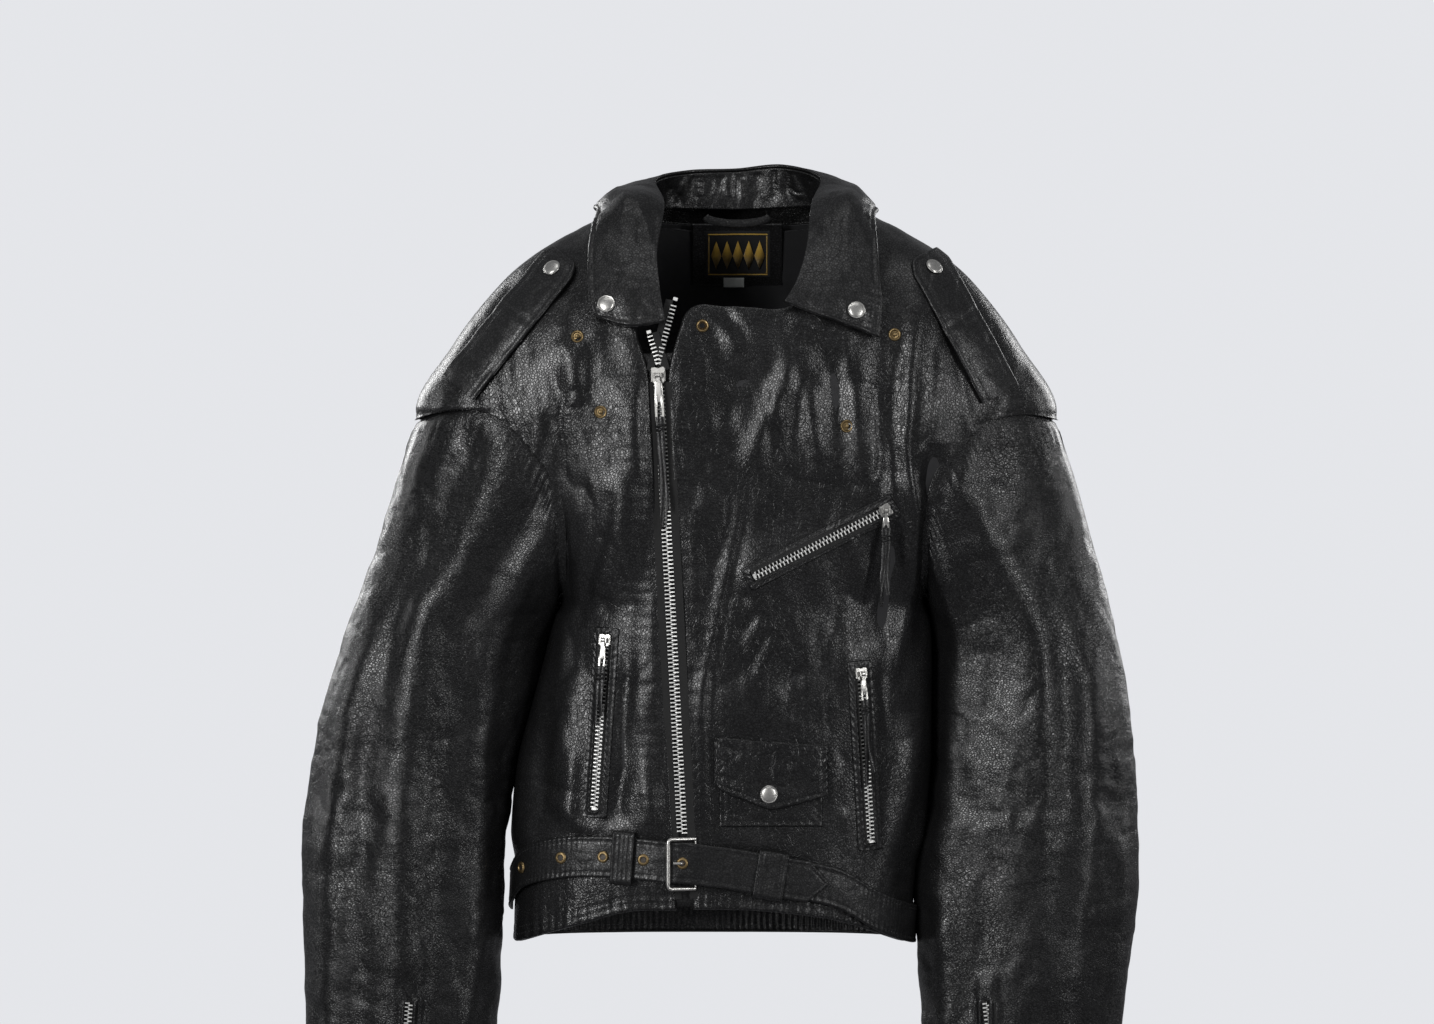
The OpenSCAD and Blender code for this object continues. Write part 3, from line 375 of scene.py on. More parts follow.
def grid_faces(rows, cols, tube=False):
    """Quads of a closed sheet whose over grid comes first and its under grid second, and which are under."""
    t = np.arange(rows * cols).reshape(rows, cols)
    t2 = np.roll(t, -1, axis=1) if tube else None
    a = t[:-1, :] if tube else t[:-1, :-1]
    b = t2[:-1, :] if tube else t[:-1, 1:]
    c = t2[1:, :] if tube else t[1:, 1:]
    d = t[1:, :] if tube else t[1:, :-1]
    over = np.stack([a, b, c, d], -1).reshape(-1, 4)
    k = rows * cols
    under = over[:, ::-1] + k
    rims = []
    for row, flip in ((t[0], False), (t[-1], True)):
        nxt = np.roll(row, -1) if tube else row[1:]
        cur = row if tube else row[:-1]
        q = np.stack([cur, nxt, nxt + k, cur + k], -1)
        rims.append(q[:, ::-1] if flip else q)
    if not tube:
        for col in (t[:, 0], t[:, -1]):
            rims.append(np.stack([col[:-1], col[1:], col[1:] + k, col[:-1] + k], -1))
    rim = np.concatenate(rims)
    return (
        np.concatenate([over, under, rim]),
        np.concatenate([np.zeros(len(over)), np.ones(len(under)), np.zeros(len(rim))])
    )


def sheet_object(name, over, under, materials, tube=False):
    rows, cols = over.shape[:2]
    faces, which = grid_faces(rows, cols, tube)
    verts = np.concatenate([over.reshape(-1, 3), under.reshape(-1, 3)])
    return new_object(name, verts, faces, materials, which if len(materials) > 1 else None)


def spread(length, step, edge=(0, 0.4, 1.0, 1.9, 3.2, 4.6, 6.2)):
    """Shares from 0 to 1, closer together near both ends so that an edge can be rounded."""
    edge = np.array(edge, float) / length
    n = max(4, int(length / step * FINE))
    return np.concatenate([edge[:-1], np.linspace(edge[-1], 1 - edge[-1], n), 1 - edge[:-1][::-1]])


def nearest(values, at):
    return np.argmin(np.abs(values - at))


def rounded(d, r=1.7):
    """How far a turned edge drops at a distance d from it."""
    k = np.clip(d / r, 0, 1)
    return -r * (1 - np.sqrt(np.maximum(0, 1 - (1 - k) ** 2)))


def channel(d, at, width=1.1, depth=0.45):
    """The shallow channel that a row of stitches pulls into the leather."""
    return -depth * hump(d - at, width)


def grid_normals(g, tube=False):
    a = np.gradient(g, axis=0)
    b = (np.roll(g, -1, 1) - np.roll(g, 1, 1)) / 2 if tube else np.gradient(g, axis=1)
    return unit(np.cross(a, b))


def place(p, q, out=None):
    """Matrix with X across, Y along from p to q, Z out of the leather."""
    p, q = np.asarray(p, float), np.asarray(q, float)
    y = unit(q - p)
    n = skin_normal((p + q) / 2) if out is None else np.asarray(out, float)
    z = unit(n - (n @ y) * y)
    m = np.eye(4)
    m[:3, 0], m[:3, 1], m[:3, 2], m[:3, 3] = np.cross(y, z), y, z, p
    return m


def standing_at(q, h=0.0):
    n = skin_normal(np.asarray(q, float))
    up = unit(np.array([0, 0, 1.0]) - n[2] * n)
    return place(q + h * n, q + h * n + up, n)


def standing(x, z, h=0.0):
    return standing_at(front(x, z), h)


def shifted(m, x=0.0, y=0.0, z=0.0, turn=0.0):
    t = np.eye(4)
    t[:3, 3] = (x, y, z)
    a = math.radians(turn)
    r = np.eye(4)
    r[0, 0], r[0, 1], r[1, 0], r[1, 1] = math.cos(a), -math.sin(a), math.sin(a), math.cos(a)
    return m @ t @ r


def moved(m, pts):
    return np.asarray(pts, float) @ m[:3, :3].T + m[:3, 3]


class Solid:
    """Collects closed shapes that become one mesh."""

    def __init__(self):
        self.verts, self.faces, self.marks, self.count = [], [], [], 0

    def add(self, verts, faces, mark=0):
        self.verts.append(np.asarray(verts, float).reshape(-1, 3))
        self.faces += [[self.count + int(i) for i in f] for f in faces]
        self.marks += [mark] * len(faces)
        self.count += len(self.verts[-1])
        return self

    def lathe(self, m, profile, steps=48, mark=0):
        """Turns (radius, height) points round Z, a closed loop or a line from the axis to the axis."""
        prof = np.array(profile, float)
        a = np.linspace(0, 2 * np.pi, steps, endpoint=False)
        ring = np.stack([
            np.outer(np.cos(a), prof[:, 0]), np.outer(np.sin(a), prof[:, 0]), np.tile(prof[:, 1], (steps, 1)),
        ], -1)
        n = len(prof)
        open_ended = prof[0, 0] < 1e-6 and prof[-1, 0] < 1e-6
        faces = []
        for i in range(steps):
            k = (i + 1) % steps
            for j in range(n - 1 if open_ended else n):
                j2 = (j + 1) % n
                quad = [i * n + j, k * n + j, k * n + j2, i * n + j2]
                if prof[j, 0] < 1e-6:
                    quad = [i * n + j, k * n + j2, i * n + j2]
                elif prof[j2, 0] < 1e-6:
                    quad = [i * n + j, k * n + j, i * n + j2]
                faces.append(quad)
        if open_ended:  # every copy of an axis point becomes the first copy
            faces = [[v % n if v % n in (0, n - 1) else v for v in f] for f in faces]
        return self.add(moved(m, ring.reshape(-1, 3)), faces, mark)

    def plate(self, m, outline, z0, z1, rim=0.25):
        """Flat plate with softened edges from an outline that runs anticlockwise."""
        o = np.array(outline, float)
        before, after = unit(o - np.roll(o, 1, 0)), unit(np.roll(o, -1, 0) - o)
        inward = unit(np.stack([-(before + after)[:, 1], (before + after)[:, 0]], -1))
        inset = o + inward * rim
        layers = [(inset, z0), (o, z0 + rim), (o, z1 - rim), (inset, z1)]
        n = len(o)
        verts = np.concatenate([np.column_stack([p, np.full(n, z)]) for p, z in layers])
        faces = [
            [k * n + i, k * n + (i + 1) % n, (k + 1) * n + (i + 1) % n, (k + 1) * n + i]
            for k in range(3) for i in range(n)
        ]
        faces += [list(range(n))[::-1], [3 * n + i for i in range(n)]]
        return self.add(moved(m, verts), faces)

    def ring_plate(self, m, outer, inner, z0, z1, rim=0.25):
        """Plate with a hole; outer and inner have as many points as each other and run the same way."""
        o, i = np.array(outer, float), np.array(inner, float)
        n = len(o)
        loops = [(o, z0), (o, z1 - rim), (mix(o, i, 0.12), z1), (mix(o, i, 0.88), z1), (i, z1 - rim), (i, z0)]
        verts = np.concatenate([np.column_stack([p, np.full(n, z)]) for p, z in loops])
        k = len(loops)
        faces = [
            [a * n + j, a * n + (j + 1) % n, ((a + 1) % k) * n + (j + 1) % n, ((a + 1) % k) * n + j]
            for a in range(k) for j in range(n)
        ]
        return self.add(moved(m, verts), faces)

    def sweep(self, path, section, up, closed=False, mark=0, twist=None):
        """Carries a section of (across, up) points along a path; up is one direction or one for each."""
        p = np.array(path, float)
        ahead = np.roll(p, -1, 0) - np.roll(p, 1, 0) if closed else np.gradient(p, axis=0)
        t = unit(ahead)
        u = np.broadcast_to(np.asarray(up, float), p.shape)
        u = unit(u - (u * t).sum(-1, keepdims=True) * t)
        s = np.cross(t, u)
        if twist is not None:
            a = np.asarray(twist, float)[:, None]
            s, u = s * np.cos(a) + u * np.sin(a), u * np.cos(a) - s * np.sin(a)
        sec = np.array(section, float)
        if sec.ndim == 2:
            sec = np.broadcast_to(sec, (len(p),) + sec.shape)
        verts = p[:, None] + sec[..., 0:1] * s[:, None] + sec[..., 1:2] * u[:, None]
        n, k = len(p), sec.shape[1]
        last = n if closed else n - 1
        faces = [
            [i * k + j, i * k + (j + 1) % k, ((i + 1) % n) * k + (j + 1) % k, ((i + 1) % n) * k + j]
            for i in range(last) for j in range(k)
        ]
        if not closed:
            faces += [list(range(k))[::-1], [(n - 1) * k + j for j in range(k)]]
        return self.add(verts.reshape(-1, 3), faces, mark)

    def sheet(self, over, under, mark=0):
        rows, cols = over.shape[:2]
        faces, _ = grid_faces(rows, cols)
        return self.add(np.concatenate([over.reshape(-1, 3), under.reshape(-1, 3)]), faces, mark)

    def make(self, name, materials, sharp=40):
        obj = new_object(
            name, np.concatenate(self.verts), self.faces, materials,
            self.marks if len(materials) > 1 else None
        )
        if sharp:
            obj.data.set_sharp_from_angle(angle=math.radians(sharp))
        return obj


def circle(r, n):
    a = np.linspace(0, 2 * np.pi, n, endpoint=False)
    return np.stack([r * np.cos(a), r * np.sin(a)], -1)


def slab_section(width, thick, n=5):
    """Rounded cross-section of a flat lace or strap."""
    a = np.linspace(-np.pi / 2, np.pi / 2, n)
    right = np.stack([width / 2 - thick / 2 + thick / 2 * np.cos(a), thick / 2 * np.sin(a)], -1)
    return np.concatenate([right, -right])


def arc_outline(points, radius, n=4):
    """Outline with its corners rounded; points run anticlockwise."""
    p = np.array(points, float)
    out = []
    for a, b, c in zip(np.roll(p, 1, 0), p, np.roll(p, -1, 0)):
        r = min(radius, np.linalg.norm(a - b) / 2.1, np.linalg.norm(c - b) / 2.1)
        s, e = b + unit(a - b) * r, b + unit(c - b) * r
        for t in np.linspace(0, 1, n):
            out.append((1 - t) ** 2 * s + 2 * t * (1 - t) * b + t * t * e)
    return np.array(out)


# ---- Materials -----------------------------------------------------------------

BLACK_LOW, BLACK_HIGH = (0.006, 0.006, 0.006 * 1.04), (0.012, 0.012, 0.012 * 1.03)  # the dye, bare and worn


class Nodes:
    """Small helper to chain shader nodes; coordinates are in metres at rest."""

    def __init__(self, name):
        self.mat = bpy.data.materials.new(name)
        self.mat.use_nodes = True
        self.tree = self.mat.node_tree
        self.bsdf = self.tree.nodes["Principled BSDF"]
        self.where = self.add("ShaderNodeTexCoord").outputs["Object"]

    def add(self, kind, inputs=None, **props):
        node = self.tree.nodes.new(kind)
        for k, v in props.items():
            setattr(node, k, v)
        for k, v in (inputs or {}).items():
            self.feed(node.inputs[k], v)
        return node

    def feed(self, socket, v):
        if isinstance(v, bpy.types.NodeSocket):
            self.tree.links.new(v, socket)
        else:
            socket.default_value = v

    def stretched(self, scale):
        return self.add("ShaderNodeMapping", {"Vector": self.where, "Scale": scale}).outputs["Vector"]

    def noise(self, scale, detail=4.0, rough=0.55, vector=None):
        return self.add("ShaderNodeTexNoise", {
            "Vector": vector or self.where, "Scale": scale, "Detail": detail, "Roughness": rough,
        }).outputs["Fac"]

    def cells(self, scale, feature, vector):
        ins = {"Vector": vector, "Scale": scale}
        return self.add("ShaderNodeTexVoronoi", ins, feature=feature).outputs["Distance"]

    def remap(self, value, a, b, c, d):
        ins = {"Value": value, "From Min": a, "From Max": b, "To Min": c, "To Max": d}
        return self.add("ShaderNodeMapRange", ins).outputs["Result"]

    def maths(self, op, a, b=0.0):
        node = self.add("ShaderNodeMath", operation=op)
        self.feed(node.inputs[0], a)
        self.feed(node.inputs[1], b)
        return node.outputs[0]

    def shift(self, operation, inputs):
        return self.add("ShaderNodeVectorMath", inputs, operation=operation).outputs[0]

    def warped(self, scale, amount, vector):
        n = self.add("ShaderNodeTexNoise", {"Vector": vector, "Scale": scale, "Detail": 2.0})
        off = self.shift("SUBTRACT", {0: n.outputs["Color"], 1: (0.5, 0.5, 0.5)})
        big = self.shift("SCALE", {0: off, "Scale": amount})
        return self.shift("ADD", {0: vector, 1: big})

    def bump(self, layers):
        normal = None
        for height, distance, strength in layers:
            ins = {"Height": height, "Distance": distance, "Strength": strength}
            if normal is not None:
                ins["Normal"] = normal
            normal = self.add("ShaderNodeBump", ins).outputs["Normal"]
        self.feed(self.bsdf.inputs["Normal"], normal)

    def colour(self, fac, dark, light):
        node = self.add("ShaderNodeMix", data_type="RGBA")
        self.feed(node.inputs["Factor"], fac)
        self.feed(node.inputs[6], (*dark, 1))
        self.feed(node.inputs[7], (*light, 1))
        self.feed(self.bsdf.inputs["Base Color"], node.outputs[2])

    def set(self, **values):
        for k, v in values.items():
            self.feed(self.bsdf.inputs[k.replace("_", " ")], v)
        return self.mat


def leather(name, rough=0.29, grain=1.0, cracks=1.0, stretch=(1, 1, 1)):
    """Black cowhide: pebble grain, fine cracks that follow the stretch, and a worn satin finish."""
    n = Nodes(name)
    base = n.stretched(stretch)
    pebbles = n.remap(n.cells(430.0, "DISTANCE_TO_EDGE", n.warped(260.0, 0.0016, base)), 0.02, 0.24, 0.0, 1.0)
    crack = n.remap(n.cells(140.0, "DISTANCE_TO_EDGE", n.warped(90.0, 0.007, base)), 0.0, 0.08, 0.0, 1.0)
    patches = n.remap(n.noise(13.0, 3.0), 0.40, 0.58, 0.0, 1.0)
    crack = n.maths("MAXIMUM", crack, n.maths("SUBTRACT", 1.0, patches))
    plump = n.maths("MULTIPLY", crack, pebbles)
    wear = n.remap(n.noise(30.0, 5.0, 0.6), 0.3, 0.75, 0.0, 1.0)
    soft = n.noise(70.0, 2.0, 0.5, base)
    n.colour(n.maths("MULTIPLY", wear, pebbles), BLACK_LOW, BLACK_HIGH)
    shine = n.remap(n.noise(10.0, 4.0), 0.32, 0.68, rough - 0.05, rough + 0.08)
    gloss = n.remap(plump, 0.0, 1.0, 0.42 - 0.22 * min(grain, 1.2), 0.58)
    n.bump([(soft, 0.0010, 0.6), (crack, 0.00011 * cracks, 0.9), (pebbles, 0.00007 * grain, 1.0)])
    rough = n.maths("SUBTRACT", shine, n.maths("MULTIPLY", plump, 0.05))
    return n.set(Roughness=rough, Specular_IOR_Level=gloss)


def metal(name, tone, rough, dirt=0.25):
    n = Nodes(name)
    grime = n.remap(n.noise(420.0, 5.0, 0.65), 0.35, 0.7, 0.0, 1.0)
    dark = tuple(c * (1 - dirt * 1.6) for c in tone)
    n.colour(grime, dark, tone)
    n.bump([(n.noise(900.0, 3.0), 0.00008, 0.4)])
    return n.set(Metallic=1.0, Roughness=n.remap(grime, 0.0, 1.0, rough + 0.16, rough))


def cloth(name, dark, light, thread, rough=0.85, sheen=0.3):
    """Woven fabric: two crossing sets of threads and a little unevenness."""
    n = Nodes(name)
    warp, weft = (
        n.add("ShaderNodeTexWave", {"Vector": n.stretched(scale), "Scale": thread}, bands_direction=way)
        for scale, way in (((1, 0.35, 0), "X"), ((0, 0.2, 1), "Z"))
    )
    weave = n.maths("MAXIMUM", warp.outputs["Fac"], weft.outputs["Fac"])
    n.colour(n.maths("MULTIPLY", weave, n.noise(60.0, 3.0)), dark, light)
    n.bump([(n.noise(45.0, 4.0), 0.0009, 0.5), (weave, 0.0002, 0.6)])
    return n.set(Roughness=rough, Sheen_Weight=sheen, Specular_IOR_Level=0.3)


BODY_LEATHER = leather("body_leather")
SLEEVE_LEATHER = leather("sleeve_leather", grain=1.2, cracks=1.2, stretch=(1, 1, 1.5))
TRIM_LEATHER = leather("trim_leather", rough=0.34, grain=0.8, cracks=0.6)
COLLAR_LEATHER = leather("collar_leather", rough=0.34, grain=0.9, cracks=0.8)
THREAD = cloth("black_thread", (0.008,) * 3, (0.02,) * 3, 900.0, 0.6)
LINING = cloth("black_lining", (0.007, 0.007, 0.008), (0.02, 0.02, 0.022), 420.0, 0.55, 0.15)
TAPE = cloth("zip_tape", (0.006,) * 3, (0.018,) * 3, 500.0)
GOLD_THREAD = cloth("gold_thread", (0.33, 0.19, 0.02), (0.62, 0.40, 0.06), 700.0, 0.6)
TAG_CLOTH = cloth("white_tag", (0.5, 0.52, 0.5), (0.75, 0.76, 0.72), 600.0)
NICKEL = metal("nickel", (0.66, 0.65, 0.62), 0.24)
STEEL = metal("zip_steel", (0.80, 0.80, 0.78), 0.44, 0.15)
BRASS = metal("antique_brass", (0.36, 0.26, 0.13), 0.36, 0.4)
DARK_METAL = metal("dark_metal", (0.10, 0.09, 0.08), 0.45)


# ---- Stitches ------------------------------------------------------------------

STITCH = {"shell": Solid(), "sleeve_right": Solid(), "sleeve_left": Solid()}


def stitch(path, normals=None, body="shell", pitch=3.4, solid=None):
    """A row of short raised threads along points on the leather, by default on the body's skin."""
    p = np.array(path, float)
    normals = skin_normal(p) if normals is None else normals
    run = np.concatenate([[0], np.cumsum(np.linalg.norm(np.diff(p, axis=0), axis=1))])
    count = int(run[-1] / pitch)
    if count < 1:
        return
    at = (np.arange(count) + 0.5) * pitch
    take = lambda arr, s: np.stack([np.interp(s, run, arr[:, k]) for k in range(3)], -1)
    n = unit(take(np.array(normals, float), at))
    a, b = take(p, at - pitch * 0.36), take(p, at + pitch * 0.36)
    d = unit(b - a)
    w = np.cross(d, n) * 0.38
    low, high = n * -0.25, n * 0.32
    mid = (a + b) / 2
    verts = np.stack([a + low, mid + w, mid + high, mid - w, mid + low, b + low], 1)
    tris = [(0, 2, 1), (0, 3, 2), (0, 4, 3), (0, 1, 4), (5, 1, 2), (5, 2, 3), (5, 3, 4), (5, 4, 1)]
    target = solid or STITCH[body]
    target.add(verts.reshape(-1, 3), [[6 * i + v for v in t] for i in range(count) for t in tris])


def stitch_front(points, h):
    """Stitches along a line of (x, z) points laid on the front, at a height over its leather."""
    pts = np.array(points, float)
    run = np.linalg.norm(np.diff(pts, axis=0), axis=1).sum()
    fine = walk(pts, np.linspace(0, 1, int(run / 2)), 0.03)
    x, z = fine[:, 0], fine[:, 1]
    stitch(front(x, z, h + body_height(FRONT, x, z)))


# ---- Folds of the body -----------------------------------------------------------

HAND_LENGTH = 148
CHEST_LOW = np.array([17.0, 308.0])
CHEST_HIGH = CHEST_LOW + 128 * np.array([math.cos(math.radians(27)), math.sin(math.radians(27))])
HAND_RIGHT_LOW = np.array([-117.0, 110.0])
HAND_RIGHT_HIGH = HAND_RIGHT_LOW + HAND_LENGTH * np.array([0.067, 0.998])
HAND_LEFT_LOW = np.array([116.0, 82.0])
HAND_LEFT_HIGH = HAND_LEFT_LOW + HAND_LENGTH * np.array([-0.06, 0.998])
POCKETS = {
    "chest": (CHEST_LOW, CHEST_HIGH, 6.0),
    "hand_right": (HAND_RIGHT_LOW, HAND_RIGHT_HIGH, 2.4),
    "hand_left": (HAND_LEFT_LOW, HAND_LEFT_HIGH, 2.4),
}
DART = [(16, 392), (6, 335), (-5, 287), (-17, 230), (-21, 190), (-18, 120), (-13, 92)]
RIGHT_FOLDS = [  # line, width, height
    ([(-140, 510), (-136, 480), (-131, 452)], 12, 4.0),
    ([(-118, 512), (-121, 480), (-117, 455)], 7, -2.0),
    ([(-148, 445), (-150, 380), (-157, 300), (-168, 200), (-178, 110)], 16, -6.0),
    ([(-88, 480), (-84, 400), (-98, 345), (-114, 290)], 19, 6.0),
    ([(-103, 380), (-112, 340), (-124, 300), (-132, 262)], 8, -3.0),
    ([(-69, 300), (-71, 210), (-75, 90)], 14, 4.0),
    ([(-92, 260), (-94, 180), (-96, 100)], 7, -2.2),
    ([(-140, 270), (-142, 180), (-138, 90)], 12, 4.0),
    ([(-100, 213), (-66, 237)], 2.2, -1.2),
    ([(-160, 120), (-120, 95), (-80, 92)], 8, 2.5),
]
LEFT_FOLDS = [
    ([(64, 518), (44, 470), (22, 425), (8, 395)], 11, 4.5),
    ([(60, 470), (66, 440), (72, 405)], 9, 3.5),
    ([(54, 500), (56, 455), (48, 410)], 7, -2.5),
    ([(100, 505), (104, 450), (112, 400), (120, 370)], 12, 3.5),
    ([(84, 500), (88, 455), (92, 420)], 9, -2.5),
    ([(160, 545), (150, 480), (146, 420), (155, 360), (149, 290), (138, 225)], 9, 6.5),
    ([(171, 420), (170, 360), (166, 300), (160, 230)], 9, -7.0),
    ([(132, 400), (136, 330), (128, 250)], 9, -3.0),
    ([(150, 190), (146, 120), (132, 60), (118, 30)], 11, 5.0),
    ([(160, 140), (157, 80), (146, 40)], 8, -4.0),
    ([(-14, 98), (15, 84), (52, 80)], 8, 4.0),
    ([(96, 110), (76, 88), (60, 66)], 7, 3.0),
    ([(-4, 110), (20, 102), (60, 100)], 4, -2.0),
    ([(0, 290), (14, 235), (24, 176)], 30, 4.0),
    ([(22, 280), (8, 262), (2, 248)], 4, -1.6),
    ([(30, 262), (18, 240), (12, 222)], 4, -1.4),
    ([(60, 250), (52, 215), (56, 182)], 7, -2.0),
    ([(-33, 257), (-14, 262)], 2.2, -1.2),
    ([(-30, 545), (-12, 520), (4, 498)], 5, 1.8),
    ([(-18, 548), (2, 522), (12, 505)], 4, -1.6),
]
BACK_FOLDS = [
    ([(-128, 470), (-126, 330), (-120, 190)], 4, -4.5),
    ([(128, 470), (126, 330), (120, 190)], 4, -4.5),
    ([(-140, 450), (-138, 330), (-134, 180)], 9, 4.0),
    ([(140, 450), (138, 330), (134, 180)], 9, 4.0),
    ([(-60, 430), (-40, 300), (-52, 150)], 22, 3.5),
    ([(48, 440), (62, 310), (44, 160)], 22, 3.5),
    ([(-150, 120), (0, 98), (140, 116)], 7, -2.5),
    ([(-110, 70), (-20, 58), (70, 66)], 9, 2.5),
    ([(-20, 400), (6, 260), (0, 120)], 12, -2.0),
]


def pocket_mound(x, z):
    """Raises the chest's leather to the straight chest zip, whose chain bridges the curve of the chest."""
    p, q, lift = POCKETS["chest"]
    a, b = front(*p, lift), front(*q, lift)
    d = q - p
    t = np.clip(((x - p[0]) * d[0] + (z - p[1]) * d[1]) / (d @ d), -0.06, 1.06)
    gap = np.hypot(x - p[0] - t * d[0], z - p[1] - t * d[1])
    chord = a + (b - a) * np.clip(t, 0, 1)[..., None]
    skin = np.stack([chord[..., 0], -skin_y(chord[..., 0], chord[..., 2]), chord[..., 2]], -1)
    rise = ((chord - skin) * skin_normal(skin)).sum(-1)
    return (rise - 2.6) * (1 - ease((gap - 9) / 26))


def body_height(face, x, z):
    """How far the leather stands off the smooth skin."""
    x, z = np.asarray(x, float), np.asarray(z, float)
    p = upright(x, z, 200.0 * face)
    broad = layered(p, (34, 60, 95), 3) * 2.2 + layered(p, (16, 30, 30), 9, 2) * 0.7
    h = broad + creased(p, (46, 60, 80), 21) * 1.1
    r = np.abs(x - smooth(MIDDLE, z)) / smooth(HALF, z)
    meet = 1 - ease((r - 0.9) / 0.09)  # front and back lie level where they are sewn together
    bulge = 5.5 * ease((r - 0.86) / 0.12) * ease((z - 56) / 34) * ease((288 - z) / 16)
    if face == BACK:
        for line, width, height in BACK_FOLDS:
            h = h + stroke(x, z, line, width, height)
        return h * meet + bulge
    for line, width, height in RIGHT_FOLDS + LEFT_FOLDS:
        h = h + stroke(x, z, line, width, height)
    h = h + stroke(x, z, DART, 2.4, -1.6) + stroke(x + 6, z, DART, 4.5, 1.5)
    calm = np.ones(np.shape(x))
    for low, high, _ in POCKETS.values():
        d = high - low
        t = np.clip(((x - low[0]) * d[0] + (z - low[1]) * d[1]) / HAND_LENGTH**2, 0, 1)
        gap = np.hypot(x - low[0] - t * d[0], z - low[1] - t * d[1])
        calm = calm * ease((gap - 6) / 16)
    zipper = ease((np.abs(x - zip_x(z)) - 8) / 14)
    flap = 1 - ease((104 - np.abs(z - 130) * 1.6) / 40) * ease((66 - np.abs(x - 31)) / 12)
    belt = 1 - 0.7 * hump(z - 66, 24)
    return h * calm * mix(0.2, 1, zipper) * mix(0.3, 1, flap) * belt * meet + pocket_mound(x, z) + bulge


def seam_pucker(along, distance, size=0.5, reach=9.0, wave=8.5, seed=1):
    """Little gathers that stitching leaves beside a seam."""
    p = np.stack([along, 0 * along + 40.0 * seed, 0 * along], -1)
    phase = along / wave * 2 * np.pi + 2.2 * noise(p, 19.0, seed)
    return size * np.sin(phase) * np.exp(-np.maximum(distance, 0) / reach)


# ---- Body panels -----------------------------------------------------------------

HEM_ROWS = (7, 13)  # stitch lines over the hem


def leather_faces(face, x, z, h):
    """The two sides of a panel's leather, whose inside follows the folds only a little."""
    return on_skin(face, x, z, h), on_skin(face, x, z, np.minimum(h, 0) * 0.3 - LEATHER - 0.8)


def build_front(side):
    name = "front_right" if side == RIGHT else "front_left"
    width, height = (150, 640) if side == RIGHT else (235, 640)
    u, v = spread(width, 2.3), spread(height, 2.2)
    flat = front_patch(side, u, v)
    x, z = flat[..., 0], flat[..., 1]
    du, dv = u[None, :] * width, v[:, None] * height
    edge = np.minimum(np.minimum(du, (1 - u[None, :]) * width), np.minimum(dv, (1 - v[:, None]) * height))
    h = body_height(FRONT, x, z)
    top = ease((z - 90) / 60)
    placket = (2.1, 5.4) if side == LEFT else (2.4, 7.4)
    lap = np.exp(-((du / 13) ** 4)) * (0.9 if side == LEFT else 0.3)
    h = h + lap + seam_pucker(z + 0 * du, du - 9, 0.16, 7, 11, seed=3 + side) * ease(du / 4)
    for d in placket:
        h = h + channel(du + 0 * dv, d)
    rows = dv + 0 * du
    for d in HEM_ROWS:
        h = h + channel(rows, d)
    h = h + seam_pucker(x, dv - 10 + 0 * du, 0.7, 9, 7.5, 5)
    arm = (1 - u[None, :]) * width
    high = ease((v[:, None] - SEAM_SHARE) / 0.05)
    pucker = seam_pucker(z + 0 * du, arm - 6, 0.9, 14, 10, 8)
    h = h + high * (channel(arm, 4.5, 1.4, 0.7) + 1.4 * hump(arm - 1, 3) + pucker)
    h = h + rounded(edge) * mix(1, 1.4, top)
    over, under = leather_faces(FRONT, x, z, h)
    fit(sheet_object(name, over, under, [BODY_LEATHER, LINING]), "shell", "black_leather", name + "_panel")
    for d in placket:
        stitch(over[6:-6, nearest(u * width, d)])
    for d in HEM_ROWS:
        stitch(over[nearest(v * height, d), 4:])
    stitch(over[v > SEAM_SHARE + 0.01, nearest((1 - u) * width, 4.5)])
    if side == LEFT:
        stitch_front([(x - 4, z) for x, z in DART], 0.3)


def build_back():
    for name, v0, v1, height in (
        ("back_panel", 0, YOKE_SHARE, 420), ("back_yoke", YOKE_SHARE + 0.0005, 1, 130)
    ):
        width = 400
        u, v = spread(width, 2.8), spread(height, 2.6)
        flat = back_patch(u, mix(v0, v1, v))
        x, z = flat[..., 0], flat[..., 1]
        du, dv = u[None, :] * width, v[:, None] * height
        side = np.minimum(du, (1 - u[None, :]) * width)
        edge = np.minimum(side + 0 * dv, np.minimum(dv, height - dv) + 0 * du)
        h = body_height(BACK, x, z) * (0.4 if name == "back_yoke" else 1)
        seam = height - dv if name == "back_panel" else dv
        h = h + seam_pucker(x, seam - 6 + 0 * du, 0.7, 12, 11, 12) + channel(seam + 0 * du, 5)
        if name == "back_yoke":
            h = h + 1.3 * np.exp(-((dv / 8) ** 4)) + channel(dv + 0 * du, 5) + channel(dv + 0 * du, 10)
        else:
            pucker = seam_pucker(x, dv - 10 + 0 * du, 0.7, 9, 8, 6)
            h = h + channel(dv + 0 * du, 7) + channel(dv + 0 * du, 13) + pucker
        h = h + rounded(edge)
        over, under = leather_faces(BACK, x, z, h)
        fit(sheet_object(name, over, under, [BODY_LEATHER, LINING]), "shell", "black_leather", name)
        for d in (HEM_ROWS if name == "back_panel" else (5, 10)):
            stitch(over[nearest(v * height, d), 4:-4])


